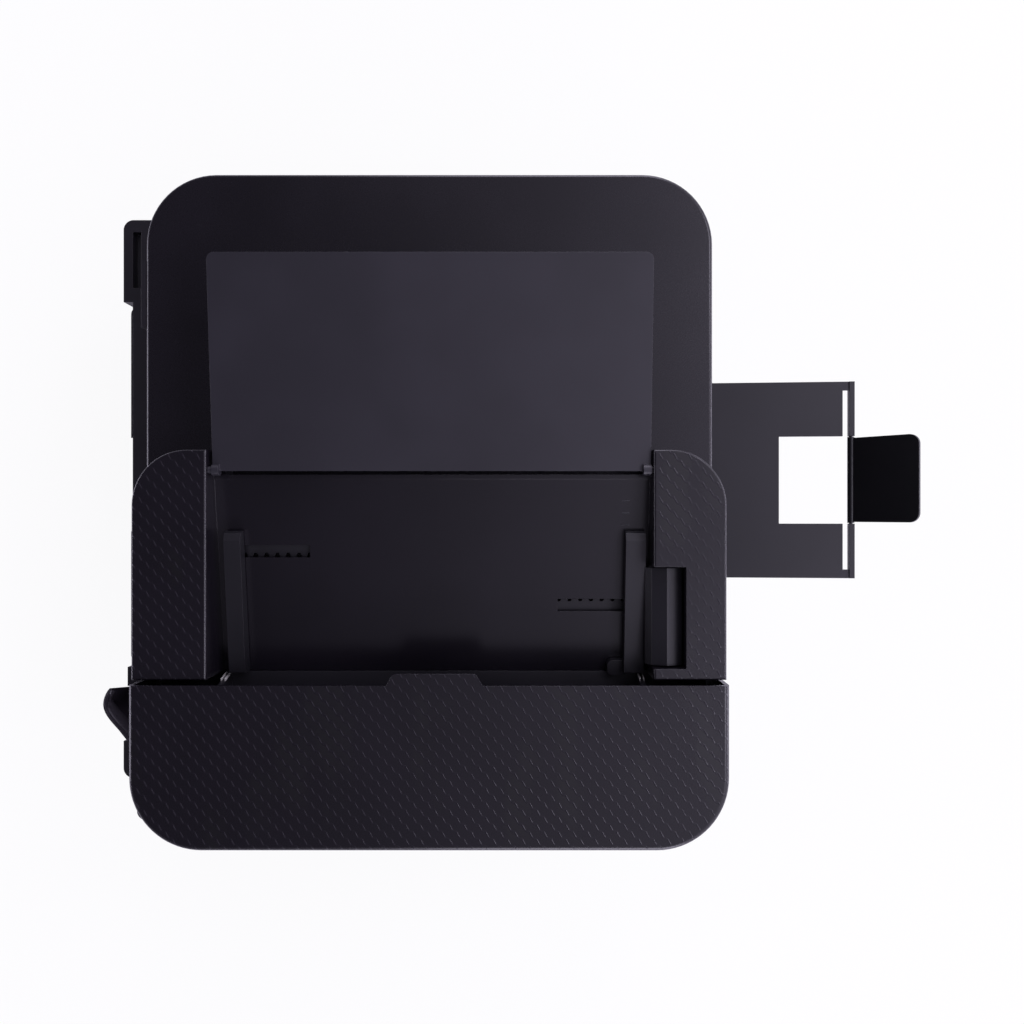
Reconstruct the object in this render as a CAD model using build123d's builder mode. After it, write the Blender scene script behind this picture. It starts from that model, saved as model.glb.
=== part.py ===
from build123d import *
import os
from math import acos, atan2, ceil, cos, pi, radians, sin, sqrt, tan

# A monochrome laser printer with a flatbed scanner and a document feeder on its lid.
# +Z is up, the front faces -Y, and +X is the right-hand side seen from the front.
# The origin is the centre of the footprint box, at the height of the surface it stands on.

# Overall sizes
half_width = 206.0
front_y = -127.0
rear_wall_y = 269.0
rear_post_y = 275.4
ledge_top = 186.0
floor_gap = 4.0
wall = 2.5

# Heights of the stack
cassette_low, cassette_high = 8.5, 71.0
cassette_end = 222.0
door_low, door_high = 73.0, 142.0
shelf_front_top = 151.5
body_top = 205.0
glass_top = 236.0
lid_low, lid_top = 238.5, 265.0
cover_top = 320.0
wing_top = 317.0

# Plan of the lid and of the scanner under it
lid_right, lid_front, lid_rear = 200.4, -120.4, 226.7
lid_corner = 42.9
scanner_front, scanner_rear = -121.0, 232.0
harness_x, harness_y = -150.0, 245.0

# Paper path, right of the middle because the gears fill the left side, and the output bay
path_x = 17.0
bay_half = 118.0
bay_front, bay_rear = -126.0, 152.0
shelf_fall = 0.0423
extension_half = 72.3
extension_slope = radians(4.6)
front_strip = 189.5

# Feeder plan
cover_left, cover_right = -193.4, -102.2
cover_front, cover_rear = -117.4, 213.8
cover_corner = 40.0
wing_left, wing_end = -99.6, 28.0
wing_corner = 31.0
wing_front, wing_rear = -116.3, 213.2
bay_low_y, bay_high_y = -75.95, 171.8
tray_mouth_x, tray_mouth_z = -100.0, 285.0
tray_top_x, tray_top_z = 12.0, 303.0
flap_axis_x, flap_axis_z = 16.9, 312.0
flap_start, flap_length = -0.6, 119.1
flap_slope = radians(5.2)
guide_middle = 47.5

# Shafts across the print engine, as (y, z)
drum_axis, drum_radius = (30.0, 97.0), 12.0
transfer_axis, transfer_radius = (30.0, 76.7), 8.0
pickup_axis, pickup_radius = (-72.0, 71.0), 12.0
drive_axis = (78.0, 97.0)
idler_axis = (drive_axis[0] + 60 * cos(radians(15)), drive_axis[1] + 60 * sin(radians(15)))
fuser_axis = (idler_axis[0] + 49 * cos(radians(20)), idler_axis[1] + 49 * sin(radians(20)))
exit_axis = (fuser_axis[0] + 30 * cos(radians(105)), fuser_axis[1] + 30 * sin(radians(105)))
motor_axis = (drive_axis[0] + 40 * cos(radians(70)), drive_axis[1] + 40 * sin(radians(70)))
pressure_axis = (fuser_axis[0] + 7.5, fuser_axis[1] - 24.5)
heat_radius, pressure_radius = 13.0, 12.3
frame_x, frame_thick = 170.0, 3.0
gear_x, gear_width = -184.0, 6.0
engine_module = 2.0
running = 0.05

# Feeder shafts, as (x, z)
feed_axis, feed_radius = (-150.0, 286.0), 14.0
adf_exit_axis = (feed_axis[0] + 27 * cos(radians(-15)), feed_axis[1] + 27 * sin(radians(-15)))
pick_axis = (feed_axis[0] + 27 * cos(radians(35)), feed_axis[1] + 27 * sin(radians(35)))
adf_gear_y = 173.0
cover_axis = (-190.4, 271.0)

# Lid hinges and panel
hinge_axis = (222.0, 243.0)
hinge_x = 127.5
panel_top = (-122.5, 236.0)
panel_foot = (-130.0, 207.0)
panel_half = 156.0
panel_tilt = atan2(panel_top[0] - panel_foot[0], panel_top[1] - panel_foot[1])


def block(x0, x1, y0, y1, z0, z1, mode=Mode.ADD):
    """Adds or cuts a straight block between the given limits."""
    with Locations(((x0 + x1) / 2, (y0 + y1) / 2, (z0 + z1) / 2)):
        Box(x1 - x0, y1 - y0, z1 - z0, mode=mode)


def rod_x(x0, x1, centre, radius, mode=Mode.ADD):
    """Adds or cuts a round bar along X at a (y, z) centre."""
    with Locations(Location(((x0 + x1) / 2, centre[0], centre[1]), (0, 90, 0))):
        Cylinder(radius, x1 - x0, mode=mode)


def rod_y(y0, y1, centre, radius, mode=Mode.ADD):
    """Adds or cuts a round bar along Y at an (x, z) centre."""
    with Locations(Location((centre[0], (y0 + y1) / 2, centre[1]), (90, 0, 0))):
        Cylinder(radius, y1 - y0, mode=mode)


def plan_outline(x0, x1, y0, y1, left_radius, right_radius):
    """A rectangle in plan with one radius on its left corners and another on its right."""
    made = Polygon((x0, y0), (x1, y0), (x1, y1), (x0, y1), align=None)
    made = fillet(made.vertices().group_by(Axis.X)[0], left_radius)
    if right_radius:
        fillet(made.vertices().group_by(Axis.X)[-1], right_radius)


def side_outline(points, radius=0.0):
    """A closed outline in the plane of the sketch, with one radius on every corner."""
    made = Polygon(*points, align=None)
    if radius:
        fillet(made.vertices(), radius)


def gear_points(teeth, module, phase=0.0, slack=0.16):
    """Corners of an involute gear: root, pitch and tip on each flank of each tooth."""
    pitch = module * teeth / 2
    half = pi / (2 * teeth) - slack / pitch
    roll = tan(radians(20)) - radians(20)
    tip = pitch + 0.94 * module
    tip_angle = acos(pitch * cos(radians(20)) / tip)
    tip_half = half + roll - (tan(tip_angle) - tip_angle)
    root = pitch - 1.2 * module
    flank = [(root, 0.98 * half), (pitch, half), (tip, tip_half)]
    corners = []
    for tooth in range(teeth):
        middle = phase + 2 * pi * tooth / teeth
        corners += [(r, middle - a) for r, a in flank]
        corners += [(r, middle + a) for r, a in reversed(flank)]
    return [(r * cos(a), r * sin(a)) for r, a in corners]


def mesh_phase(phase, teeth, other_teeth, bearing):
    """Phase of a second gear that meshes with the first, which sees it at that bearing."""
    share = (bearing - phase) * teeth / (2 * pi)
    return bearing + pi - (0.5 - share) * 2 * pi / other_teeth


def bearing_to(start, end):
    """Direction from one shaft centre to another, in radians."""
    return atan2(end[1] - start[1], end[0] - start[0])


def engine_gear(centre, teeth, phase):
    """A toothed wheel of the print engine's train, on its (y, z) centre."""
    with BuildSketch(Plane.YZ.offset(gear_x)) as wheel:
        with Locations(centre):
            side_outline(gear_points(teeth, engine_module, phase))
    extrude(wheel.sketch, amount=gear_width)


def feeder_gear(centre, teeth, phase):
    """A toothed wheel of the feeder's train, on its (x, z) centre."""
    with BuildSketch(Plane.XZ.offset(-adf_gear_y)) as wheel:
        with Locations(centre):
            side_outline(gear_points(teeth, 2.0, phase))
    extrude(wheel.sketch, amount=-5)


def rack_points(start, end, centre, line, side, module=2.0, slack=0.16, back=5.5):
    """Outline of a toothed bar along Y from start to end, pitch line at x = line, teeth on side."""
    step = pi * module
    lean = tan(radians(20))
    tip = line + side * 0.94 * module
    root = line - side * 1.2 * module
    points = [(root, start)]
    for number in range(ceil((start + 3 - centre) / step), int((end - 3 - centre) / step) + 1):
        middle = centre + step * number
        half_root = step / 4 - slack + 1.2 * module * lean
        half_tip = step / 4 - slack - 0.94 * module * lean
        points += [(root, middle - half_root), (tip, middle - half_tip)]
        points += [(tip, middle + half_tip), (root, middle + half_root)]
    points += [(root, end), (root - side * back, end), (root - side * back, start)]
    return points


# Teeth of the engine train and their phases
drive_teeth, idler_teeth, drum_teeth = 30, 30, 18
fuser_teeth, exit_teeth, motor_teeth = 19, 11, 10
idler_phase = mesh_phase(0, drive_teeth, idler_teeth, bearing_to(drive_axis, idler_axis))
drum_phase = mesh_phase(0, drive_teeth, drum_teeth, bearing_to(drive_axis, drum_axis))
motor_phase = mesh_phase(0, drive_teeth, motor_teeth, bearing_to(drive_axis, motor_axis))
fuser_phase = mesh_phase(idler_phase, idler_teeth, fuser_teeth, bearing_to(idler_axis, fuser_axis))
exit_phase = mesh_phase(fuser_phase, fuser_teeth, exit_teeth, bearing_to(fuser_axis, exit_axis))

# Teeth of the feeder train
feed_teeth, small_teeth = 18, 9
adf_exit_phase = mesh_phase(0, feed_teeth, small_teeth, bearing_to(feed_axis, adf_exit_axis))
pick_phase = mesh_phase(0, feed_teeth, small_teeth, bearing_to(feed_axis, pick_axis))

# The tray floor's own frame: x up the slope, y across, z off the floor
tray_slope = atan2(tray_top_z - tray_mouth_z, tray_top_x - tray_mouth_x)
tray_plane = Plane(
    origin=(-45.0, guide_middle, tray_mouth_z + (-45.0 - tray_mouth_x) * tan(tray_slope)),
    x_dir=(cos(tray_slope), 0, sin(tray_slope)),
    z_dir=(-sin(tray_slope), 0, cos(tray_slope)),
)

pieces = {}

# Chassis and casing

# Bottom pan: floor, upturned rim open at the front, rails for the cassette and four foot bosses
with BuildPart() as base_pan:
    with BuildSketch(Plane.XY.offset(floor_gap)):
        plan_outline(-189, 189, -112, 266, 12, 12)
    extrude(amount=3)
    with BuildSketch(Plane.XY.offset(floor_gap)):
        plan_outline(-189, 189, -112, 266, 12, 12)
        offset(amount=-3, mode=Mode.SUBTRACT)
    extrude(amount=16)
    block(-167, 167, -120, -105, 7, 30, Mode.SUBTRACT)
    for side in (-1, 1):
        block(*sorted((side * 163.6, side * 167.2)), -108, cassette_end + 6, 6.5, 16)
    block(-166, 166, cassette_end + 2.5, cassette_end + 6, 6.5, 40)
    with BuildSketch(Plane.XY.offset(floor_gap)):
        with GridLocations(28, 0, 9, 1):
            with Locations((0, 248)):
                SlotOverall(26, 8, rotation=90)
    extrude(amount=4, mode=Mode.SUBTRACT)
pieces["base_pan"] = base_pan

with BuildPart() as feet:
    with BuildSketch():
        with Locations((0, 75)):
            with GridLocations(330, 310, 2, 2):
                Circle(11)
    extrude(amount=floor_gap)
    chamfer(feet.edges().group_by(Axis.Z)[0], 1)
pieces["feet"] = feet

# Side frames that carry every shaft, pierced plates behind the side covers
frame_outline = [
    (-106, 7), (258, 7), (258, 150), (242, 183), (228, 183), (224, 203), (-104, 203), (-106, 148),
]


def side_frame(x0, shafts):
    """A pierced plate from x0 with running holes for shafts given as (centre, radius)."""
    with BuildSketch(Plane.YZ.offset(x0)) as plate:
        side_outline(frame_outline, 6)
        for centre, radius in shafts:
            with Locations(centre):
                Circle(radius + running, mode=Mode.SUBTRACT)
        with Locations((-40, 170), (20, 172), (150, 60), (215, 60)):
            RectangleRounded(44, 34, 8, mode=Mode.SUBTRACT)
        with Locations((-20, 46), (50, 40)):
            SlotOverall(52, 20, mode=Mode.SUBTRACT)
    extrude(plate.sketch, amount=frame_thick)


def door_lug(x0):
    """A rounded lug reaching forward from a side frame to hold the front door's pin."""
    block(x0, x0 + frame_thick, door_axis[0], -100, door_axis[1] - 3.3, door_axis[1] + 3.3)
    rod_x(x0, x0 + frame_thick, door_axis, 3.3)
    rod_x(x0 - 1, x0 + frame_thick + 1, door_axis, 2 + running, Mode.SUBTRACT)


door_axis = (-120.7, 79.5)
shaft_holes = [
    (drum_axis, 4.0), (transfer_axis, 3.0), (pickup_axis, 4.0),
    (fuser_axis, 6.0), (pressure_axis, 5.0), (exit_axis, 3.0),
]
with BuildPart() as left_frame:
    side_frame(-frame_x - frame_thick, shaft_holes)
    block(-frame_x - 13, -frame_x - 1, -100, 250, 7, 9)
    door_lug(-frame_x - frame_thick)
    for centre in (drive_axis, idler_axis):
        rod_x(-191, -frame_x - 1, centre, 4.0)
        rod_x(-176.6, -frame_x - 1, centre, 6.5)
    rod_x(-176.5, -frame_x - 1, motor_axis, 14.0)
    rod_x(-180, -160, motor_axis, 5.0, Mode.SUBTRACT)
pieces["left_frame"] = left_frame

with BuildPart() as right_frame:
    side_frame(frame_x, shaft_holes)
    block(frame_x + 1, frame_x + 13, -100, 250, 7, 9)
    door_lug(frame_x)
pieces["right_frame"] = right_frame

# Side covers: trays with rounded outer edges, their rims turned in to the chassis
cover_profile = [
    (front_y, 8), (250, 8), (250, ledge_top), (232, body_top - 0.5), (front_y, body_top - 0.5),
]
edge_radius = 4.5

with BuildPart() as left_cover:
    with BuildSketch(Plane.YZ.offset(-half_width)):
        side_outline(cover_profile, 5)
    extrude(amount=16)
    fillet(left_cover.faces().sort_by(Axis.X)[0].edges(), edge_radius)
    offset(amount=-wall, openings=left_cover.faces().sort_by(Axis.X)[-1])
    with BuildSketch(Plane.YZ.offset(-half_width - 1)):
        with Locations((184, 120)):
            with GridLocations(11, 0, 9, 1):
                SlotOverall(62, 4.5, rotation=90)
        with Locations((75, 21)):
            RectangleRounded(110, 17, 6)
    extrude(amount=6, mode=Mode.SUBTRACT)
    for y in (-60, 10, 90, 230):
        block(-204.2, -191, y, y + 2, 40, 60)
pieces["left_cover"] = left_cover

with BuildPart() as right_cover:
    with BuildSketch(Plane.YZ.offset(half_width)):
        side_outline(cover_profile, 5)
    extrude(amount=-16)
    fillet(right_cover.faces().sort_by(Axis.X)[-1].edges(), edge_radius)
    offset(amount=-wall, openings=right_cover.faces().sort_by(Axis.X)[0])
    with BuildSketch(Plane.YZ.offset(half_width + 1)):
        with Locations((120, 60)):
            with GridLocations(11, 0, 12, 1):
                SlotOverall(40, 4.5, rotation=90)
        with Locations((75, 21)):
            RectangleRounded(110, 17, 6)
    extrude(amount=-6, mode=Mode.SUBTRACT)
    for y in (-60, 10, 200, 230):
        block(191, 204.2, y, y + 2, 110, 130)
pieces["right_cover"] = right_cover

# Output bay: the falling shelf, the two towers beside it and the wall with the exit slot


def shelf_z(y):
    """Height of the shelf's upper face at that depth."""
    return shelf_front_top - (y - bay_front) * shelf_fall


with BuildPart() as bay_frame:
    with BuildSketch(Plane.YZ.offset(path_x - bay_half - wall)):
        side_outline([
            (bay_front, shelf_z(bay_front)), (bay_rear, shelf_z(bay_rear)),
            (bay_rear, body_top - 3.3), (bay_rear + wall, body_top - 3.3),
            (bay_rear + wall, shelf_z(bay_rear) - wall), (bay_rear, shelf_z(bay_rear) - wall),
            (bay_front, shelf_z(bay_front) - wall),
        ])
    extrude(amount=2 * (bay_half + wall))
    block(-front_strip, front_strip, bay_front, bay_front + wall, door_high + 1, body_top - 0.8)
    bay_left, bay_right = path_x - bay_half, path_x + bay_half
    block(bay_left, bay_right, bay_front - 1, bay_front + 4, shelf_front_top, body_top, Mode.SUBTRACT)
    for side in (-1, 1):
        with BuildSketch(Plane.YZ.offset(path_x + side * (bay_half + wall / 2) - wall / 2)):
            side_outline([
                (bay_front, shelf_z(bay_front) - wall), (bay_rear + wall, shelf_z(bay_rear) - wall),
                (bay_rear + wall, body_top - 0.8), (bay_front, body_top - 0.8),
            ])
        extrude(amount=wall)
        edges = sorted((path_x + side * bay_half, side * 168.5))
        block(*edges, bay_front, bay_rear + wall, body_top - 3.3, body_top - 0.8)
    block(path_x - 112, path_x + 112, bay_rear - 1, bay_rear + wall + 1, 161, 173, Mode.SUBTRACT)
    with BuildSketch(Plane.XZ.offset(-bay_front + 3)):
        with Locations((path_x, 145.9)):
            Rectangle(2 * extension_half + 4, 6.2)
    extrude(amount=-8, mode=Mode.SUBTRACT)
    for x in (-90, -45, 0, 45, 90):
        with BuildSketch(Plane.YZ.offset(path_x + x - 1)):
            side_outline([
                (10, shelf_z(10) - 1), (bay_rear - 4, shelf_z(bay_rear - 4) - 1),
                (bay_rear - 4, shelf_z(bay_rear - 4) + 1.6), (24, shelf_z(24) + 1.6),
            ])
        extrude(amount=2)
pieces["bay_frame"] = bay_frame

rear_door_axis = (272.4, 27.0)

# Rear frame: wall with the door opening, posts, the ledge and its ventilated top
with BuildPart() as rear_frame:
    with BuildSketch(Plane.XY.offset(10)):
        made = Polygon(
            (-193.5, 251), (-193.5, rear_post_y), (-167.5, rear_post_y),
            (-167.5, rear_wall_y), (-128.8, rear_wall_y), (-128.8, 272.6), (-115.5, 272.6),
            (-115.5, rear_wall_y), (140.9, rear_wall_y), (140.9, rear_post_y),
            (198.5, rear_post_y), (198.5, 251), align=None,
        )
        fillet(made.vertices().filter_by(lambda v: v.Y > 275 and abs(v.X) > 190), 7)
    extrude(amount=ledge_top - 10)
    block(-196, 200, 250, rear_wall_y - wall, 9, ledge_top - wall, Mode.SUBTRACT)
    for side, edge in ((-1, -193.5), (1, 198.5)):
        block(*sorted((edge, edge - side * wall)), 251, 268, 10, ledge_top)
    block(-189.4, 189.4, 231.5, 252, ledge_top - wall, ledge_top)
    block(-189.4, 189.4, 231.5, 234, ledge_top - wall, body_top - 0.8)
    block(-108, 133.5, 262, 280, 24, 181, Mode.SUBTRACT)
    for z in (30.5, 36):
        block(145, 190, 270, 280, 120 + z, 122.5 + z, Mode.SUBTRACT)
    block(150.8, 190.1, 263.1, 268.8, 178, 190, Mode.SUBTRACT)
    block(141.8, 169.2, 262, 280, 34, 58, Mode.SUBTRACT)
    block(173.5, 189.5, 262, 280, 86, 104, Mode.SUBTRACT)
    block(175.5, 187.5, 262, 280, 112, 126, Mode.SUBTRACT)
    for x in (-113.8, 139.4):
        block(x - 1.5, x + 1.5, 267, 275, 22, 31)
    rod_x(-112.8, -105.5, rear_door_axis, 1.5)
    rod_x(131, 138.4, rear_door_axis, 1.5)
pieces["rear_frame"] = rear_frame

# Rear door over the fuser, hinged at its foot
with BuildPart() as rear_door:
    with BuildSketch(Plane.XZ.offset(-269.3)):
        with Locations((12.8, 103)):
            RectangleRounded(249.4, 158, 5)
    extrude(amount=-2.6)
    for x in (-100, -60, -20, 20, 60, 100, 125):
        with BuildSketch(Plane.YZ.offset(x)):
            side_outline([
                (269.4, 34), (269.4, 174), (260, 174), (250, 150), (248, 120), (254, 60), (264, 34),
            ])
        extrude(amount=2)
    block(-101, 128, 264, 269.5, 172, 174.5)
    with BuildSketch(Plane.XZ.offset(-272)):
        with Locations((12.8, 178)):
            SlotOverall(70, 10)
    extrude(amount=1.4, mode=Mode.SUBTRACT)
    block(-113, -107.7, 268, 273, 23, rear_door_axis[1], Mode.SUBTRACT)
    block(133.2, 139, 268, 273, 23, rear_door_axis[1], Mode.SUBTRACT)
    for x0, x1 in ((-111.8, -104), (129.4, 137.4)):
        rod_x(x0, x1, rear_door_axis, 2.6)
        rod_x(x0 - 1, x1 + 1, rear_door_axis, 1.5 + running, Mode.SUBTRACT)
pieces["rear_door"] = rear_door

# Harness guard: a scooped lip behind the left of the scanner, open above


def scoop_outline(points, inner_y):
    """Plan of the scoop at one level: a curved lip closed by three straight sides."""
    with BuildLine() as rim:
        lip = Spline(*points)
        Polyline(lip @ 1, (points[-1][0], inner_y), (points[0][0], inner_y), lip @ 0)
    make_face(rim.edges())


scoop_top = 206.0
outer_top = [(-126.4, 276.0), (-131.0, 279.0), (-138.0, 280.4), (-149.0, 275.0), (-165.2, 262.5)]
outer_foot = [(-132.0, 269.5), (-135.0, 271.0), (-140.0, 271.6), (-148.0, 269.0), (-158.0, 262.5)]
inner_top = [(-124.0, 273.6), (-131.0, 276.4), (-138.0, 277.7), (-147.6, 272.9), (-160.0, 262.5)]
inner_foot = [(-130.0, 266.5), (-135.0, 268.0), (-140.0, 268.6), (-147.0, 266.5), (-154.0, 262.5)]
with BuildPart() as harness_guard:
    with BuildSketch(Plane.XY.offset(scoop_top)):
        scoop_outline(outer_top, 252)
    with BuildSketch(Plane.XY.offset(scoop_top - 38)):
        scoop_outline(outer_foot, 252)
    loft()
    with BuildSketch(Plane.XY.offset(scoop_top)):
        scoop_outline(inner_top, 255)
    with BuildSketch(Plane.XY.offset(scoop_top - 34)):
        scoop_outline(inner_foot, 255)
    loft(mode=Mode.SUBTRACT)
    block(-170, -120, 240, 269.2, 150, ledge_top, Mode.SUBTRACT)
pieces["harness_guard"] = harness_guard

# Front door over the toner, hinged at its foot, with a recessed grip at its top
with BuildPart() as front_door:
    with BuildSketch(Plane.XZ.offset(-front_y)):
        with Locations((0, (door_low + door_high) / 2)):
            RectangleRounded(2 * front_strip - 1.4, door_high - door_low, 5)
    extrude(amount=-11)
    fillet(front_door.faces().sort_by(Axis.Y)[0].edges(), 2.4)
    with BuildSketch(Plane.XZ.offset(-front_y - wall)):
        with Locations((0, (door_low + door_high) / 2)):
            RectangleRounded(2 * front_strip - 6.4, door_high - door_low - 5, 3)
    extrude(amount=-12, mode=Mode.SUBTRACT)
    block(-44, 44, front_y - 1, front_y + 7, door_high - 8, door_high + 1, Mode.SUBTRACT)
    block(-46.5, 46.5, front_y + 6, front_y + 8, door_high - 10.5, door_high)
    block(-46.5, 46.5, front_y + 1, front_y + 8, door_high - 10.5, door_high - 8)
    block(-114, 114, front_y - 1, front_y + 5, 92, 99, Mode.SUBTRACT)
    for x in (-150, -75, 75, 150):
        block(x, x + 2, front_y + 2, front_y + 10.5, door_low + 2, door_high - 12)
    for side in (-1, 1):
        rod_x(*sorted((side * 167, side * 188)), door_axis, 2.0)
        block(*sorted((side * 165.5, side * 168)), front_y + 2, -117, door_low + 2, 84)
        block(*sorted((side * 169, side * 174)), -124.4, -115, 72, 75.6, Mode.SUBTRACT)
pieces["front_door"] = front_door

# Paper cassette and what it holds

with BuildPart() as paper_cassette:
    block(-163, 163, -118.5, cassette_end, 9, 57)
    block(-160.5, 160.5, -116, cassette_end - wall, 11, 60, Mode.SUBTRACT)
    with BuildSketch(Plane.XZ.offset(-front_y)):
        with Locations((0, (cassette_low + cassette_high) / 2)):
            RectangleRounded(2 * front_strip - 1.4, cassette_high - cassette_low, 5)
    extrude(amount=-8.6)
    fillet(paper_cassette.faces().sort_by(Axis.Y)[0].edges(), 2.5)
    with BuildSketch(Plane.XZ.offset(-front_y + 1)):
        with Locations((0, 22)):
            RectangleRounded(120, 20, 8)
    extrude(amount=-7.6, mode=Mode.SUBTRACT)
    block(path_x - 118, path_x + 118, -116, -100, 11, 44)
    with BuildSketch(Plane.YZ.offset(path_x - 110)):
        side_outline([(-116, 43), (-101, 43), (-112, 55), (-116, 55)])
    extrude(amount=220)
    for y in (60, 72):
        block(path_x - 112, path_x + 112, y, y + 2, 11, 12)
    with BuildSketch(Plane.XY.offset(10)):
        with Locations((path_x, 150)):
            with GridLocations(34, 0, 2, 1):
                SlotOverall(110, 5, rotation=90)
    extrude(amount=1.2, mode=Mode.SUBTRACT)
pieces["paper_cassette"] = paper_cassette

lift_axis = (22.0, 15.0)
with BuildPart() as lift_plate:
    with BuildSketch(Plane.XY.offset(13.2)):
        with Locations((path_x, -38)):
            RectangleRounded(180, 116, 6)
        with Locations((path_x, -20)):
            with GridLocations(110, 0, 2, 1):
                SlotOverall(60, 14, rotation=90, mode=Mode.SUBTRACT)
    extrude(amount=1.6)
    for side in (-1, 1):
        rod_x(*sorted((path_x + side * 80, path_x + side * 90)), lift_axis, 2.6)
pieces["lift_plate"] = lift_plate


def cassette_guide(sign):
    """A side guide: upright with a foot and ribs, standing on the cassette's floor."""
    inner = path_x + sign * 108.2
    block(*sorted((inner, inner + sign * 2.5)), 32, 100, 12.4, 50)
    block(*sorted((inner, inner + sign * 26)), 34, 98, 12.4, 15)
    for y in (44, 66, 88):
        with BuildSketch(Plane.XZ.offset(-y)) as rib:
            side_outline([(inner + sign, 14), (inner + sign * 22, 14), (inner + sign, 44)])
        extrude(rib.sketch, amount=2)


with BuildPart() as paper_guide_left:
    cassette_guide(-1)
pieces["paper_guide_left"] = paper_guide_left
with BuildPart() as paper_guide_right:
    cassette_guide(1)
pieces["paper_guide_right"] = paper_guide_right

sheet_end = 180.0
with BuildPart() as length_guide:
    block(path_x - 22, path_x + 22, sheet_end, sheet_end + 2.5, 12.4, 46)
    block(path_x - 20, path_x + 20, sheet_end, sheet_end + 20, 12.4, 15)
    for x in (-16, -1, 14):
        with BuildSketch(Plane.YZ.offset(path_x + x)):
            side_outline([(sheet_end + 2, 14), (sheet_end + 19, 14), (sheet_end + 2, 42)])
        extrude(amount=2)
pieces["length_guide"] = length_guide

# Print engine

with BuildPart() as laser_unit:
    with BuildSketch(Plane.XY.offset(119)):
        side_outline([
            (path_x - 104, 100), (path_x - 104, 10), (path_x - 60, -10), (path_x + 60, -10),
            (path_x + 104, 10), (path_x + 104, 100),
        ], 5)
    extrude(amount=13)
    chamfer(laser_unit.faces().sort_by(Axis.Z)[-1].edges(), 1.2)
    block(path_x - 92, path_x + 92, 24, 29, 118, 123, Mode.SUBTRACT)
    for side in (-1, 1):
        block(*sorted((path_x + side * 100, side * frame_x)), 30, 60, 122, 126)
    with BuildSketch(Plane.XY.offset(131)):
        with Locations((path_x - 40, 62)):
            Circle(17)
            Circle(13, mode=Mode.SUBTRACT)
    extrude(amount=2.4)
pieces["laser_unit"] = laser_unit

with BuildPart() as toner_cartridge:
    with BuildSketch(Plane.YZ.offset(path_x - 116)):
        side_outline([(-74, 90), (-66, 86), (12, 86), (16, 92), (16, 112), (2, 117), (-74, 117)], 2.5)
    extrude(amount=232)
    with BuildSketch(Plane.YZ.offset(path_x - 112)):
        with Locations(drum_axis):
            Circle(drum_radius + 1.2)
    extrude(amount=224, mode=Mode.SUBTRACT)
    for side in (-1, 1):
        with BuildSketch(Plane.YZ.offset(path_x + side * 114 - 2)):
            side_outline([(10, 88), (46, 88), (46, 104), (38, 112), (10, 114)], 3)
            with Locations(drum_axis):
                Circle(4 + running, mode=Mode.SUBTRACT)
        extrude(amount=4)
    block(path_x - 116, path_x + 116, 43.4, 46, 98, 104)
    with BuildSketch(Plane.YZ.offset(path_x - 32)):
        side_outline([(-74, 98), (-90, 100), (-90, 108), (-74, 112)])
    extrude(amount=64)
    block(path_x - 28, path_x + 28, -86, -74.5, 90, 120, Mode.SUBTRACT)
pieces["toner_cartridge"] = toner_cartridge

with BuildPart() as drum:
    rod_x(path_x - 111.5, path_x + 111.5, drum_axis, drum_radius)
    rod_x(-188, 178, drum_axis, 4.0)
    engine_gear(drum_axis, drum_teeth, drum_phase)
pieces["drum"] = drum

with BuildPart() as transfer_roller:
    rod_x(path_x - 110, path_x + 110, transfer_axis, transfer_radius)
    rod_x(-178, 178, transfer_axis, 3.0)
pieces["transfer_roller"] = transfer_roller

with BuildPart() as pickup_roller:
    rod_x(path_x - 22, path_x + 22, pickup_axis, pickup_radius)
    chamfer(pickup_roller.edges().filter_by(GeomType.CIRCLE), 0.8)
    rod_x(-182, 178, pickup_axis, 4.0)
    rod_x(-182, -176, pickup_axis, 11.0)
pieces["pickup_roller"] = pickup_roller

with BuildPart() as fuser_frame:
    for side in (-1, 1):
        with BuildSketch(Plane.YZ.offset(path_x + side * 124 - 2)):
            side_outline([(160, 92), (206, 90), (212, 128), (204, 150), (166, 150), (160, 136)], 4)
            for centre, radius in ((fuser_axis, 6.0), (pressure_axis, 5.0)):
                with Locations(centre):
                    Circle(radius + running, mode=Mode.SUBTRACT)
        extrude(amount=4)
    guard_left, guard_right = path_x - 125, path_x + 125
    block(guard_left, guard_right, 160.5, 163, 120, 146)
    block(guard_left, guard_right, 160.5, 200, 145.8, 149)
    with BuildSketch(Plane.XY.offset(145)):
        with Locations((path_x, 182)):
            with GridLocations(22, 0, 10, 1):
                SlotOverall(26, 6, rotation=90)
    extrude(amount=6, mode=Mode.SUBTRACT)
    block(guard_left, guard_right, 164, 204, 88, 90.6)
    for side in (-1, 1):
        block(*sorted((path_x + side * 124, side * frame_x)), 166, 176, 142, 146)
pieces["fuser_frame"] = fuser_frame

with BuildPart() as heat_roller:
    rod_x(path_x - 119, path_x + 119, fuser_axis, heat_radius)
    rod_x(-186, 178, fuser_axis, 6.0)
    engine_gear(fuser_axis, fuser_teeth, fuser_phase)
pieces["heat_roller"] = heat_roller

with BuildPart() as pressure_roller:
    rod_x(path_x - 116, path_x + 116, pressure_axis, pressure_radius)
    chamfer(pressure_roller.edges().filter_by(GeomType.CIRCLE), 1)
    rod_x(-178, 178, pressure_axis, 5.0)
pieces["pressure_roller"] = pressure_roller

with BuildPart() as exit_roller:
    rod_x(-186, 178, exit_axis, 3.0)
    for x in (-88, -32, 32, 88):
        rod_x(path_x + x - 7, path_x + x + 7, exit_axis, 7.0)
    engine_gear(exit_axis, exit_teeth, exit_phase)
pieces["exit_roller"] = exit_roller


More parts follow.
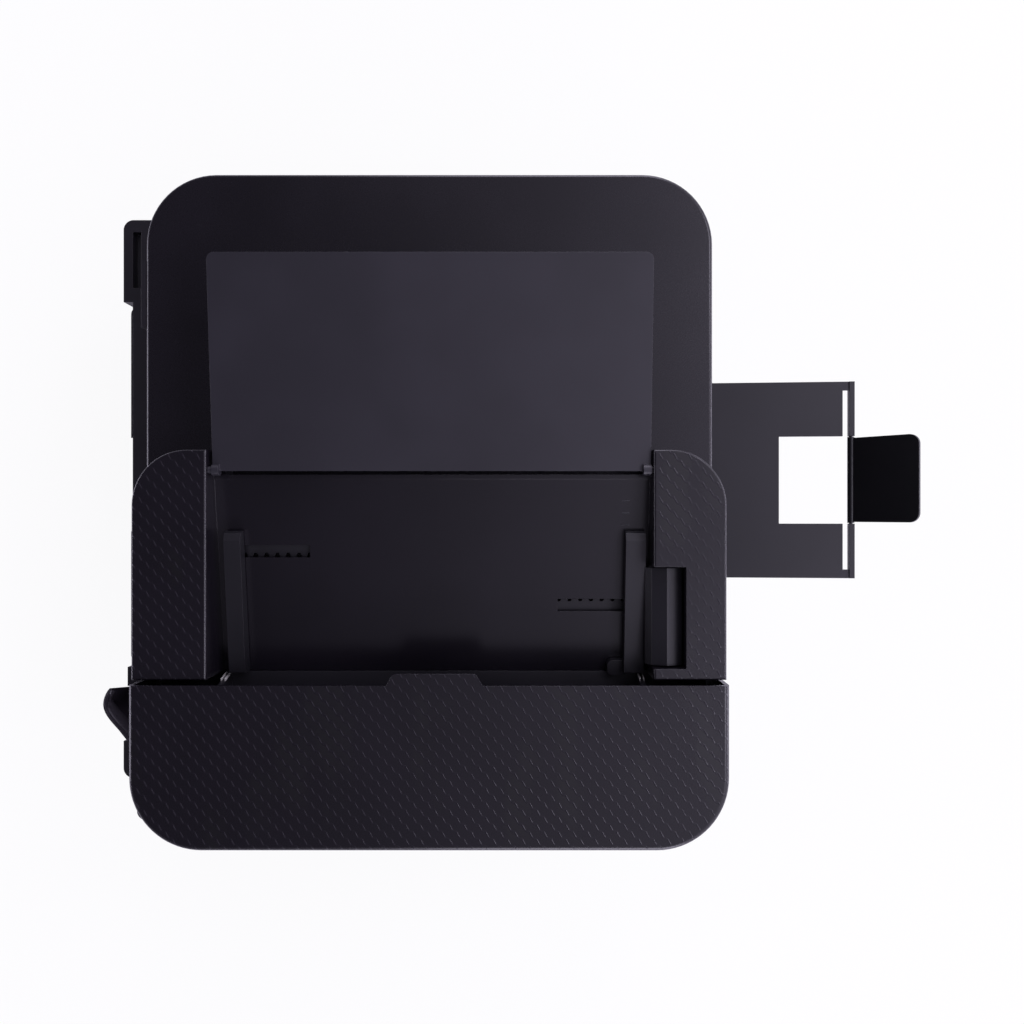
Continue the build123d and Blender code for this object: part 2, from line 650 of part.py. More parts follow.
def train_wheel(centre, teeth, phase):
    """A lightened wheel that turns on a stud of the left frame."""
    engine_gear(centre, teeth, phase)
    with BuildSketch(Plane.YZ.offset(gear_x - 1)) as openings:
        with Locations(centre):
            with PolarLocations(16.5, 5):
                Circle(5.2)
    extrude(openings.sketch, amount=gear_width + 2, mode=Mode.SUBTRACT)
    rod_x(gear_x - 1.5, gear_x + gear_width + 0.8, centre, 8.0)
    rod_x(gear_x - 3, gear_x + gear_width + 2, centre, 4 + running, Mode.SUBTRACT)


with BuildPart() as drive_gear:
    train_wheel(drive_axis, drive_teeth, 0)
pieces["drive_gear"] = drive_gear

with BuildPart() as idler_gear:
    train_wheel(idler_axis, idler_teeth, idler_phase)
pieces["idler_gear"] = idler_gear

with BuildPart() as main_motor:
    rod_x(-frame_x, -146, motor_axis, 21.0)
    chamfer(main_motor.faces().sort_by(Axis.X)[-1].edges(), 2)
    rod_x(-147, -143.5, motor_axis, 8.0)
pieces["main_motor"] = main_motor

with BuildPart() as motor_pinion:
    engine_gear(motor_axis, motor_teeth, motor_phase)
    rod_x(-185, -170.2, motor_axis, 2.5)
pieces["motor_pinion"] = motor_pinion

# The board carries the data sockets, and the supply the mains inlet with its three pins
with BuildPart() as main_board:
    block(181, 182.6, 95, 246, 66, 148)
    block(182.6, 186, 120, 138, 96, 114)
    block(182.6, 188, 150, 158, 80, 130)
    block(174, 189, 248, 268.4, 86.5, 103.5)
    block(176, 187, 248, 268.4, 112.5, 125.5)
    block(177, 188.5, 252, 270, 89, 101, Mode.SUBTRACT)
    block(178, 185, 252, 270, 115, 123, Mode.SUBTRACT)
    block(177, 182, 244, 250, 88, 124)
    for y in (104, 170, 186, 202):
        rod_x(182, 190, (y, 74), 4.0)
    for centre in ((110, 84), (238, 84), (110, 140), (236, 140)):
        rod_x(frame_x + frame_thick, 181.5, centre, 3)
pieces["main_board"] = main_board

with BuildPart() as power_supply:
    block(180, 181.6, -80, 80, 20, 96)
    block(181.6, 198, -50, -14, 36, 72)
    block(181.6, 186, 0, 40, 40, 48)
    for y in (14, 34, 58):
        rod_x(181, 197, (y, 70), 7.5)
    for centre in ((-72, 26), (70, 26), (-72, 90), (72, 90)):
        rod_x(frame_x + frame_thick, 180.5, centre, 3)
    block(142.2, 168.8, 248, 268.6, 35.4, 56.6)
    with BuildSketch(Plane.XZ.offset(-270)):
        with Locations((155.5, 46)):
            RectangleRounded(23.4, 16.6, 3)
    extrude(amount=18, mode=Mode.SUBTRACT)
    for x, z in ((148.6, 44.5), (155.5, 48.5), (162.4, 44.5)):
        block(x - 1, x + 1, 251, 262, z - 2, z + 2)
pieces["power_supply"] = power_supply

# Output extension: slides out from under the shelf and carries the paper stop
stop_y, stop_z = -247.2, 157.6
extension_left = path_x - extension_half


def along_extension(distance, height):
    """(y, z) of a point that far in from the end bar, and that high off the panel."""
    return (
        stop_y + distance * cos(extension_slope) + height * sin(extension_slope),
        stop_z - distance * sin(extension_slope) + height * cos(extension_slope),
    )


with BuildPart() as output_extension:
    with BuildSketch(Plane.YZ.offset(extension_left)):
        side_outline([
            along_extension(0, -2.8), along_extension(138, -2.8), along_extension(138, 0),
            along_extension(0, 0),
        ])
    extrude(amount=2 * extension_half)
    with BuildSketch(Plane.YZ.offset(extension_left)):
        side_outline([
            along_extension(-1.9, -4.4), along_extension(1.8, -4.4), along_extension(1.8, 1.0),
            along_extension(-1.9, 1.0),
        ])
    extrude(amount=2 * extension_half)
    block(path_x - 32.2, path_x + 32.2, stop_y - 5, stop_y + 52.2, 140, 170, Mode.SUBTRACT)
    block(path_x - 66, path_x + 66, stop_y + 1.9, stop_y + 6.4, 140, 170, Mode.SUBTRACT)
    for x in (path_x - 56, path_x + 50):
        with BuildSketch(Plane.YZ.offset(x)):
            side_outline([
                along_extension(10, -4.2), along_extension(122, -4.2), along_extension(122, -2.6),
                along_extension(10, -2.6),
            ])
        extrude(amount=6)
    rod_x(path_x - 33.5, path_x + 33.5, (stop_y, stop_z - 1.6), 1.3)
pieces["output_extension"] = output_extension

stop_axis = (stop_y, stop_z - 1.6)
stop_lean = radians(48.7)


stop_length = 50.3
stop_plane = Plane(
    origin=(path_x, stop_axis[0], stop_axis[1]),
    x_dir=(1, 0, 0),
    z_dir=(0, -sin(stop_lean), -cos(stop_lean)),
)
with BuildPart() as paper_stop:
    with BuildSketch(stop_plane):
        made = Polygon(
            (-30.9, 0), (30.9, 0), (30.9, stop_length), (-30.9, stop_length), align=None,
        )
        fillet(made.vertices().group_by(Axis.Y)[-1], 7)
    extrude(amount=1.1, both=True)
    rod_x(path_x - 31.6, path_x + 31.6, stop_axis, 2.5)
    rod_x(path_x - 33, path_x + 33, stop_axis, 1.35, Mode.SUBTRACT)
pieces["paper_stop"] = paper_stop

# Scanner

with BuildPart() as scanner_base:
    with BuildSketch(Plane.XY.offset(body_top)):
        plan_outline(-half_width + 0.5, half_width - 0.5, scanner_front, scanner_rear, 42, 42)
    extrude(amount=glass_top - body_top - 6)
    with BuildSketch(Plane.XY.offset(body_top)):
        plan_outline(-half_width + 0.2, harness_x, 150, harness_y, 6, 3)
    extrude(amount=glass_top - body_top - 6)
    with BuildSketch(Plane.XY.offset(body_top + wall)):
        plan_outline(-half_width + 3.2, half_width - 3.2, scanner_front + 2.7, 209, 39, 8)
    extrude(amount=40, mode=Mode.SUBTRACT)
    for side in (-1, 1):
        block(side * hinge_x - 27, side * hinge_x + 27, 212, 240, 214, 240, Mode.SUBTRACT)
    block(-200, -188, 42, 54, 206, 220)
    block(189, 200, 42, 54, 206, 220)
    rod_x(-200, 200, (48, 214.5), 3.0, Mode.SUBTRACT)
pieces["scanner_base"] = scanner_base

with BuildPart() as carriage_rod:
    rod_x(-195, 195, (48, 214.5), 3.0)
pieces["carriage_rod"] = carriage_rod

with BuildPart() as scan_carriage:
    block(-142, -122, -62, 168, 220, 229)
    block(-140.5, -123.5, 28, 68, 210, 220)
    rod_x(-150, -110, (48, 214.5), 3 + running, Mode.SUBTRACT)
    block(-134, -130, -58, 164, 228, 230, Mode.SUBTRACT)
pieces["scan_carriage"] = scan_carriage

with BuildPart() as scanner_top:
    with BuildSketch(Plane.XY.offset(glass_top - 6)):
        plan_outline(-half_width + 0.5, half_width - 0.5, scanner_front, scanner_rear, 42, 42)
    extrude(amount=6)
    with BuildSketch(Plane.XY.offset(glass_top - 6)):
        plan_outline(-half_width + 0.2, harness_x, 150, harness_y, 6, 3)
    extrude(amount=6)
    fillet(scanner_top.faces().sort_by(Axis.Z)[-1].edges(), 1.2)
    block(-113, 181, -53.5, 159.5, 229, 240, Mode.SUBTRACT)
    block(-116, 184, -56.5, 162.5, glass_top - 3, 240, Mode.SUBTRACT)
    block(-141, -123, -53.5, 159.5, 229, 240, Mode.SUBTRACT)
    block(-143, -121, -56.5, 162.5, glass_top - 3, 240, Mode.SUBTRACT)
    for side in (-1, 1):
        block(side * hinge_x - 27, side * hinge_x + 27, 212, 240, 229, 240, Mode.SUBTRACT)
pieces["scanner_top"] = scanner_top

with BuildPart() as scan_glass:
    block(-115.8, 183.8, -56.3, 162.3, glass_top - 3, glass_top)
    block(-142.8, -121.2, -56.3, 162.3, glass_top - 3, glass_top)
pieces["scan_glass"] = scan_glass

# Lid hinges: brackets with their pins on the scanner, arms with barrels on the lid
with BuildPart() as hinge_brackets:
    for side in (-1, 1):
        x = side * hinge_x
        block(x - 26, x + 26, 213, 231, 214, 217)
        for cheek in (x - 25.5, x + 21.5):
            with BuildSketch(Plane.YZ.offset(cheek)):
                side_outline([(214, 216), (231, 216), (231, 238), (227, 247.5), (217.5, 247.5), (214, 238)], 2)
            extrude(amount=4)
        rod_x(x - 23, x + 23, hinge_axis, 3.0)
pieces["hinge_brackets"] = hinge_brackets

with BuildPart() as hinge_arms:
    for side in (-1, 1):
        x = side * hinge_x
        rod_x(x - 20.5, x + 20.5, hinge_axis, 5.6)
        with BuildSketch(Plane.YZ.offset(x - 20.5)):
            side_outline([
                (216.4, 243), (227.6, 243), (230.7, 252), (230.7, lid_top - wall),
                (212, lid_top - wall), (212, 252),
            ])
        extrude(amount=41)
        rod_x(x - 22, x + 22, hinge_axis, 3 + running, Mode.SUBTRACT)
pieces["hinge_arms"] = hinge_arms

# Control panel on the front of the scanner, keys and all
panel_plane = Plane(
    origin=(0, panel_foot[0], panel_foot[1]),
    x_dir=(1, 0, 0),
    z_dir=(0, -cos(panel_tilt), sin(panel_tilt)),
)
panel_height = sqrt((panel_top[0] - panel_foot[0]) ** 2 + (panel_top[1] - panel_foot[1]) ** 2)
key_row = panel_height / 2 - 1.5
round_keys = {"power_button": (-128, 5.0), "stop_button": (112, 6.0), "start_button": (134, 7.0)}
square_keys = {"menu_rocker": (62, 10, 14)}
key_stand, key_depth = 0.9, 2.6
rocker_pivot = (
    panel_foot[0] + key_row * sin(panel_tilt) + 1.4 * cos(panel_tilt),
    panel_foot[1] + key_row * cos(panel_tilt) - 1.4 * sin(panel_tilt),
)
display_x, display_width, display_tall = -30.0, 78.0, 19.0

with BuildPart() as control_panel:
    with BuildSketch(Plane.YZ.offset(-panel_half)):
        side_outline([
            (scanner_front, 206.2), (scanner_front, glass_top), panel_top, panel_foot,
            (panel_foot[0] + 1.5, 206.2),
        ])
    extrude(amount=2 * panel_half)
    with BuildSketch(panel_plane.offset(-2.2)):
        with Locations((0, key_row - 2)):
            Rectangle(2 * panel_half - 5, panel_height - 8)
    extrude(amount=-12, mode=Mode.SUBTRACT)
    with BuildSketch(panel_plane.offset(1)):
        for x, radius in round_keys.values():
            with Locations((x, key_row)):
                Circle(radius + 0.3)
        for x, across, tall in square_keys.values():
            with Locations((x, key_row)):
                RectangleRounded(across + 0.6, tall + 0.6, 2)
    extrude(amount=-4, mode=Mode.SUBTRACT)
    with BuildSketch(panel_plane.offset(1)):
        with Locations((display_x, key_row)):
            RectangleRounded(display_width, display_tall, 2)
    extrude(amount=-1.8, mode=Mode.SUBTRACT)
pieces["control_panel"] = control_panel

for name, (x, radius) in round_keys.items():
    with BuildPart() as key:
        with BuildSketch(panel_plane.offset(-key_depth)):
            with Locations((x, key_row)):
                Circle(radius)
        extrude(amount=key_depth + key_stand)
        chamfer(key.faces().sort_by(Axis.Y)[0].edges(), 0.5)
    pieces[name] = key

for name, (x, across, tall) in square_keys.items():
    with BuildPart() as key:
        with BuildSketch(panel_plane.offset(-key_depth)):
            with Locations((x, key_row)):
                RectangleRounded(across, tall, 1.7)
        extrude(amount=key_depth + key_stand)
        rod_x(x - across / 2 - 0.2, x + across / 2 + 0.2, rocker_pivot, 1.0)
    pieces[name] = key

# Lid

with BuildPart() as lid_cover:
    with BuildSketch(Plane.XY.offset(lid_low)):
        plan_outline(-lid_right, lid_right, lid_front, lid_rear, lid_corner, lid_corner)
    extrude(amount=lid_top - lid_low)
    fillet(lid_cover.faces().sort_by(Axis.Z)[-1].edges(), 2.2)
    with BuildSketch(Plane.XY.offset(lid_low)):
        inner = lid_corner - wall
        plan_outline(wall - lid_right, lid_right - wall, lid_front + wall, lid_rear - wall, inner, inner)
    extrude(amount=lid_top - lid_low - wall, mode=Mode.SUBTRACT)
    for side in (-1, 1):
        x = side * hinge_x
        block(x - 27, x + 27, 210, 230, 236, lid_top - wall, Mode.SUBTRACT)
    block(-143, -121, -60, 166, 261, 267, Mode.SUBTRACT)
    for x in (-60, 20, 100):
        block(x, x + 2, -114, 205, 256, 263)
    for y in (-30, 53, 136):
        block(-110, 190, y, y + 2, 256, 263)
pieces["lid_cover"] = lid_cover

with BuildPart() as lid_underplate:
    with BuildSketch(Plane.XY.offset(lid_low)):
        plan_outline(-196.8, 196.8, -117, 210, 41, 41)
    extrude(amount=2)
    block(-143, -121, -60, 166, 236, 242, Mode.SUBTRACT)
pieces["lid_underplate"] = lid_underplate

with BuildPart() as platen_pad:
    with BuildSketch(Plane.XY.offset(glass_top + 0.3)):
        with Locations((34, 53)):
            RectangleRounded(297, 216, 4)
    extrude(amount=lid_low - glass_top - 0.3)
pieces["platen_pad"] = platen_pad

# Document feeder

barrel_places = (-40.0, 120.0)
ear_places = (-49.5, 132.5)


def wing_outline(low, high, inset):
    """Plan of one wing of the tray, drawn in by the inset, its far outer corner rounded."""
    left, right = wing_left + inset, wing_end - inset
    made = Polygon(
        (left, low + inset), (right, low + inset), (right, high - inset), (left, high - inset),
        align=None,
    )
    outer = made.vertices().filter_by(lambda v: v.X > 0 and abs(v.Y - guide_middle) > 140)
    fillet(outer, wing_corner - inset)


wings = ((wing_front, bay_low_y), (bay_high_y, wing_rear))
with BuildPart() as adf_base:
    with BuildSketch(Plane.XY.offset(lid_top)):
        plan_outline(-188, -100.5, -113, 209, 36, 0)
    extrude(amount=28)
    with BuildSketch(Plane.XY.offset(lid_top + 2)):
        plan_outline(-185, -90, -110, 206, 33, 0)
    extrude(amount=30, mode=Mode.SUBTRACT)
    for y in (-74, 167.5):
        with BuildSketch(Plane.XZ.offset(-y)):
            side_outline([
                (-186, 265), (-101, 265), (-101, 283), (-108, 314), (-142, 316.5), (-178, 306),
                (-186, 290),
            ])
            for centre, radius in ((feed_axis, 4.0), (adf_exit_axis, 3.0), (pick_axis, 3.0)):
                with Locations(centre):
                    Circle(radius + running, mode=Mode.SUBTRACT)
        extrude(amount=-3)
    for low, high in wings:
        with BuildSketch(Plane.XY.offset(lid_top)):
            wing_outline(low, high, 1.5)
        extrude(amount=18)
        with BuildSketch(Plane.XY.offset(lid_top)):
            wing_outline(low, high, 4.5)
        extrude(amount=15.5, mode=Mode.SUBTRACT)
        block(-102, -96, low + 3, high - 3, lid_top, lid_top + 2)
    block(-134, -100.2, -71.5, 168, 283.6, 285)
    block(-141.5, -122.5, -58, 154, lid_top - 1, lid_top + 3, Mode.SUBTRACT)
    block(-171, -129, 171.6, 179.4, lid_top - 1, lid_top + 3, Mode.SUBTRACT)
    for y, pin in zip(ear_places, ((-42, -30), (122, 134))):
        block(-189.2, -187, y, y + 8.5, 267, 272.5)
        rod_y(y, y + 8.5, cover_axis, 2.2)
        rod_y(*pin, cover_axis, 1.2)
pieces["adf_base"] = adf_base

# Curved chute round the feed roller, ribbed on its back


def chute_band(inner, outer, start, end, steps=22):
    """Outline of a band round the feed shaft between two radii and two bearings."""
    bearings = [radians(start + (end - start) * n / steps) for n in range(steps + 1)]
    ring = [(outer, a) for a in bearings] + [(inner, a) for a in reversed(bearings)]
    return [(feed_axis[0] + r * cos(a), feed_axis[1] + r * sin(a)) for r, a in ring]


with BuildPart() as adf_chute:
    with BuildSketch(Plane.XZ.offset(71)):
        side_outline(chute_band(17, 19, 92, 268))
    extrude(amount=-238.5)
    for y in (-60, -6, 48, 102, 150):
        with BuildSketch(Plane.XZ.offset(-y)):
            side_outline(chute_band(18, 22.8, 98, 222))
        extrude(amount=2)
pieces["adf_chute"] = adf_chute


def feeder_roller(centre, shaft, ring, places, half, teeth, phase):
    """A shaft along Y with rubber rings at the given places and a gear on its rear end."""
    rod_y(-78, adf_gear_y + 6, centre, shaft)
    for y in places:
        rod_y(y - half, y + half, centre, ring)
    feeder_gear(centre, teeth, phase)


with BuildPart() as adf_feed_roller:
    feeder_roller(feed_axis, 4.0, feed_radius, (-30, 125), 13, feed_teeth, 0)
pieces["adf_feed_roller"] = adf_feed_roller
with BuildPart() as adf_exit_roller:
    feeder_roller(adf_exit_axis, 3.0, 4.0, (-34, 0, 95, 129), 9, small_teeth, adf_exit_phase)
pieces["adf_exit_roller"] = adf_exit_roller
with BuildPart() as adf_pick_roller:
    feeder_roller(pick_axis, 3.0, 13.5, (47.5,), 18, small_teeth, pick_phase)
pieces["adf_pick_roller"] = adf_pick_roller

# Feeder cover: domed lid with a lifting tab, open towards the tray
with BuildPart() as adf_cover:
    with BuildSketch(Plane.XY.offset(272)):
        plan_outline(cover_left, cover_right, cover_front, cover_rear, cover_corner, 0)
    extrude(amount=cover_top - 272)
    fillet(adf_cover.faces().sort_by(Axis.Z)[-1].edges().sort_by(Axis.X)[:-1], 3)
    with BuildSketch(Plane.XY.offset(272)):
        low, high = cover_front + wall, cover_rear - wall
        plan_outline(cover_left + wall, cover_right + 5, low, high, cover_corner - wall, 0)
    extrude(amount=cover_top - 272 - wall, mode=Mode.SUBTRACT)
    with BuildSketch(Plane.XY.offset(cover_top - 2.5)):
        made = Polygon((-104, 17.5), (-95.6, 22.5), (-95.6, 68), (-104, 73), align=None)
        fillet(made.vertices().group_by(Axis.X)[-1], 2.5)
    extrude(amount=2.5)
    for y in ear_places:
        block(-194, -188.9, y - 1.2, y + 9.6, 271, 276.5, Mode.SUBTRACT)
    for y in barrel_places:
        block(-192.6, -188.6, y, y + 12, 271.2, 277)
        rod_y(y, y + 12, cover_axis, 2.2)
        rod_y(y - 1, y + 13, cover_axis, 1.2 + running, Mode.SUBTRACT)
    for y in (-64, 100, 160):
        block(-180, -110, y, y + 1.6, 315.6, 318)
pieces["adf_cover"] = adf_cover

# Document tray: sloping floor between two hollow wings
with BuildPart() as document_tray:
    for low, high in wings:
        with BuildSketch(Plane.XY.offset(283)):
            wing_outline(low, high, 0)
        extrude(amount=wing_top - 283)
    fillet(document_tray.faces().sort_by(Axis.Z)[-2:].edges(), 1.2)
    for low, high in wings:
        with BuildSketch(Plane.XY.offset(283)):
            wing_outline(low, high, wall)
        extrude(amount=wing_top - 283 - wall, mode=Mode.SUBTRACT)
    block(-93.5, -37.0, -93.9, -72, 300.2, 320, Mode.SUBTRACT)
    block(-96, -34.5, -96.4, bay_low_y, 297.7, 300.2)
    block(-96, -93.5, -96.4, bay_low_y, 297.7, 316)
    block(-37.0, -34.5, -96.4, bay_low_y, 297.7, 316)
    block(-96, -34.5, -96.4, -93.9, 297.7, 316)
    with BuildSketch(tray_plane.offset(-2.2)):
        with Locations((2.0, 0.4)):
            Rectangle(115, 2 * 124.4)
    extrude(amount=2.2)
    for side, x in ((1, 16.0), (-1, -16.0)):
        with BuildSketch(tray_plane.offset(-3)):
            with Locations((x, side * 94.5)):
                Rectangle(7.4, 46)
        extrude(amount=4, mode=Mode.SUBTRACT)
    block(wing_end - 16, wing_end - 13.4, bay_low_y - 1, bay_high_y + 1, 293, 304)
    for side, y in ((-1, bay_low_y - 3), (1, bay_high_y - 1)):
        rod_y(y, y + 4, (flap_axis_x, flap_axis_z), 2 + running, Mode.SUBTRACT)
pieces["document_tray"] = document_tray

# Guides with their racks, and the pinion that keeps them centred
fence = [
    (-17.3, 299.0), (-17.3, 302.0), (-18.8, 304.4), (-23.0, 305.7), (-99.6, 295.2), (-99.6, 286.0),
]
with BuildPart() as front_guide:
    with BuildSketch(Plane.XZ.offset(62.1)):
        side_outline(fence, 0.5)
    extrude(amount=11.4)
    with BuildSketch(Plane.YZ.offset(-92.6)):
        side_outline([
            (-73.0, 300.6), (-93.2, 300.6), (-93.2, 308.6), (-84.2, 311.8), (-76, 309), (-73.0, 304),
        ], 0.5)
    extrude(amount=54.6)
    with BuildSketch(tray_plane.offset(0.9)):
        with Locations((-52, -106.5)):
            RectangleRounded(9, 12, 3)
    extrude(amount=5)
    with BuildSketch(tray_plane.offset(-6.6)):
        side_outline(rack_points(-118, 44, 0, -12, 1))
    extrude(amount=3.6)
    with BuildSketch(tray_plane.offset(-4)):
        with Locations((-16, -114)):
            Rectangle(6, 6)
    extrude(amount=8)
pieces["front_guide"] = front_guide

with BuildPart() as rear_guide:
    with BuildSketch(Plane.XZ.offset(-166.0)):
        side_outline(fence, 0.5)
    extrude(amount=9.6)
    with BuildSketch(tray_plane.offset(-6.6)):
        side_outline(rack_points(-44, 118, 0, 12, -1))
    extrude(amount=3.6)
    with BuildSketch(tray_plane.offset(-4)):
        with Locations((16, 114)):
            Rectangle(6, 6)
    extrude(amount=8)
pieces["rear_guide"] = rear_guide

guide_teeth = 12
with BuildPart() as guide_pinion:
    with BuildSketch(tray_plane.offset(-6.6)):
        side_outline(gear_points(guide_teeth, 2.0, pi / guide_teeth))
        Circle(3 + running, mode=Mode.SUBTRACT)
    extrude(amount=3.6)
pieces["guide_pinion"] = guide_pinion

with BuildPart() as tray_bottom:
    with BuildSketch(tray_plane.offset(-9.2)):
        with Locations((1.0, 0.4)):
            Rectangle(106, 2 * 123.85)
        with Locations((-36, 0), (40, 0)):
            with GridLocations(0, 40, 1, 5):
                SlotOverall(24, 8, mode=Mode.SUBTRACT)
    extrude(amount=2)
    with BuildSketch(tray_plane.offset(-7.4)):
        Circle(3.0)
    extrude(amount=4.6)
pieces["tray_bottom"] = tray_bottom

# Document flap, folded open: a plain panel level with its pins, recessed beneath
flap_plane = Plane(
    origin=(flap_axis_x, guide_middle, flap_axis_z),
    x_dir=(cos(flap_slope), 0, sin(flap_slope)),
    z_dir=(-sin(flap_slope), 0, cos(flap_slope)),
)
with BuildPart() as document_flap:
    with BuildSketch(flap_plane.offset(-3)):
        made = Polygon(
            (flap_start, -122.6), (flap_length, -122.6), (flap_length, 122.2), (flap_start, 122.2),
            align=None,
        )
        fillet(made.vertices().group_by(Axis.X)[-1], 4)
    extrude(amount=3)
    with BuildSketch(flap_plane.offset(-3)):
        with Locations((62, -0.2)):
            RectangleRounded(100, 236, 3)
    extrude(amount=0.8, mode=Mode.SUBTRACT)
    for low, high in ((-122.6, -118.2), (118.2, 122.2)):
        rod_y(guide_middle + low, guide_middle + high, (flap_axis_x, flap_axis_z), 3.2)
    rod_y(-77.7, -74, (flap_axis_x, flap_axis_z), 2.0)
    rod_y(168, bay_high_y + 1.6, (flap_axis_x, flap_axis_z), 2.0)
pieces["document_flap"] = document_flap

os.makedirs("parts", exist_ok=True)
for name, piece in pieces.items():
    piece.part.label = name
    export_step(piece.part, f"parts/{name}.step")
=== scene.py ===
import bpy
import numpy as np
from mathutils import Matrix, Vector


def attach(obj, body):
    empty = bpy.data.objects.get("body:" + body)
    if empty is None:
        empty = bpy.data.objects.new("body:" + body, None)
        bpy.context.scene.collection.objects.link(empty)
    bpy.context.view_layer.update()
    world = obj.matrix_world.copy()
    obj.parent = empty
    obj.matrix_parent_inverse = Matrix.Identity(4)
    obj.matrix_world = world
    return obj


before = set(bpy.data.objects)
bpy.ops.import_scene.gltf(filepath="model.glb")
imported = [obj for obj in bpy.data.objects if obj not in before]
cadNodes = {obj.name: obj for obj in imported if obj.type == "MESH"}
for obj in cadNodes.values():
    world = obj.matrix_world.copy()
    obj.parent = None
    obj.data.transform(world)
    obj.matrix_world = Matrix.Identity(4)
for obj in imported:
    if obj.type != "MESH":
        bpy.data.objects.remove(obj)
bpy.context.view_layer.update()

mm = 0.001
pathMiddle = 17 * mm  # the paper runs right of the middle
print("frame loaded:", len(cadNodes), "nodes")


# Shader maths: a socket that can be added, multiplied and compared

class Wire:
    def __init__(self, finish, socket):
        self.finish, self.socket = finish, socket

    def maths(self, operation, *values):
        return self.finish.node("Math", {"operation": operation}, [self, *values])

    def __add__(self, other):
        return self.maths("ADD", other)

    def __sub__(self, other):
        return self.maths("SUBTRACT", other)

    def __mul__(self, other):
        return self.maths("MULTIPLY", other)

    def __gt__(self, other):
        return self.maths("GREATER_THAN", other)

    def __lt__(self, other):
        return self.maths("LESS_THAN", other)

    def __neg__(self):
        return self * -1.0

    def __rsub__(self, other):
        return self.finish.node("Math", {"operation": "SUBTRACT"}, [other, self])

    __radd__ = __add__

    def wave(self, half):
        # rises from 0 to half and falls back, over and over
        return self.maths("PINGPONG", half)

    def size(self):
        return self.maths("ABSOLUTE")

    def step(self, low, high):
        # eased step from 0 at low to 1 at high
        return self.finish.node("MapRange", {"interpolation_type": "SMOOTHSTEP"}, [self, low, high, 0.0, 1.0])


class Finish:
    # one material, or the world, and the nodes that are added to it
    def __init__(self, name, world=None):
        self.material = world or bpy.data.materials.new(name)
        self.material.use_nodes = True
        self.tree = self.material.node_tree
        self.tree.nodes.clear()
        self.output = self.tree.nodes.new("ShaderNodeOutput" + ("World" if world else "Material"))

    def node(self, kind, settings=None, values=(), out=0):
        made = self.tree.nodes.new("ShaderNode" + kind)
        for key, value in (settings or {}).items():
            setattr(made, key, value)
        pairs = values.items() if isinstance(values, dict) else enumerate(values)
        for key, value in pairs:
            if isinstance(value, Wire):
                self.tree.links.new(value.socket, made.inputs[key])
            elif value is not None:
                made.inputs[key].default_value = value
        return Wire(self, made.outputs[out])

    def place(self):
        return self.node("TexCoord", out="Object")

    def axes(self):
        # x, y and z of the point, in metres
        split = self.node("SeparateXYZ", values=[self.place()])
        return [Wire(self, split.socket.node.outputs[n]) for n in range(3)]

    def facing(self):
        # x, y and z of the surface's normal, by the room's axes: they change as a piece turns
        normal = self.node("NewGeometry", out="Normal")
        split = self.node("SeparateXYZ", values=[normal])
        return [Wire(self, split.socket.node.outputs[n]) for n in range(3)]

    def noise(self, size, detail=3.0, rough=0.5, stretch=None):
        # a stretch below 1 draws the pattern out along that axis
        where = self.place()
        if stretch:
            where = self.node("Mapping", values={"Vector": where, "Scale": stretch})
        values = {"Vector": where, "Scale": 1.0 / size, "Detail": detail, "Roughness": rough}
        return self.node("TexNoise", {}, values)

    def cells(self, size, out="Distance"):
        values = {"Vector": self.place(), "Scale": 1.0 / size}
        return self.node("TexVoronoi", {"feature": "F1"}, values, out)

    def blend(self, factor, first, second):
        # inputs 6 and 7 and output 2 are the ones for colours
        return self.node("Mix", {"data_type": "RGBA"}, {0: factor, 6: first, 7: second}, out=2)

    def softEdge(self, radius):
        # the normal, turned over that radius near an edge
        return self.node("Bevel", {"samples": 4}, {"Radius": radius})

    def bump(self, height, distance, strength=1.0, normal=None):
        values = {"Strength": strength, "Distance": distance, "Height": height, "Normal": normal}
        return self.node("Bump", {}, values)

    def surface(self, **sockets):
        values = {key.replace("_", " "): value for key, value in sockets.items()}
        shader = self.node("BsdfPrincipled", {}, values)
        self.tree.links.new(shader.socket, self.output.inputs["Surface"])
        return self.material


def colour(r, g, b, a=1.0):
    return (r, g, b, a)


def scaled(tint, factor):
    # the tint made darker or lighter, held at 1
    return tuple(min(1.0, c * factor) for c in tint[:3]) + (1.0,)


# Moulded plastic: spark-eroded grain, slow drift of tint, faint dust on faces that look up

moulded = {
    "driftSize": 60 * mm, "driftRange": (0.3, 0.7), "shades": (0.88, 1.12), "pitSize": 1.4, "pitShare": 0.4,
    "speckSize": 3 * mm, "speckRange": (0.58, 0.8), "upRange": (0.3, 1.0), "dust": colour(0.1, 0.1, 0.105),
    "fineRough": 0.08, "driftRough": 0.06,
}


def mouldedPlastic(
    name, tint, roughness, grain=0.45 * mm, depth=0.006 * mm, edge=0.35 * mm, ior=1.5, dust=0.12,
):
    f = Finish(name)
    drift = f.noise(moulded["driftSize"], 2.0)
    fine = f.noise(grain, 2.0, 0.6)
    pits = f.cells(grain * moulded["pitSize"])
    up = f.facing()[2].step(*moulded["upRange"])
    specks = f.noise(moulded["speckSize"], 4.0, 0.7).step(*moulded["speckRange"]) * up * dust
    darker, lighter = (scaled(tint, shade) for shade in moulded["shades"])
    base = f.blend(drift.step(*moulded["driftRange"]), darker, lighter)
    base = f.blend(specks, base, moulded["dust"])
    rough = roughness + (fine - 0.5) * moulded["fineRough"] + (drift - 0.5) * moulded["driftRough"]
    relief = fine * (1.0 - moulded["pitShare"]) + pits * moulded["pitShare"]
    relief = f.bump(relief, depth, 1.0, f.softEdge(edge))
    return f.surface(Base_Color=base, Roughness=rough, Normal=relief, IOR=ior)


# Woven strands: chains of short ridges run where x - y - swing * sin(2 pi y / pitch) is a whole
# number of double pitches, and a ridge is the steep part of its chain's wave

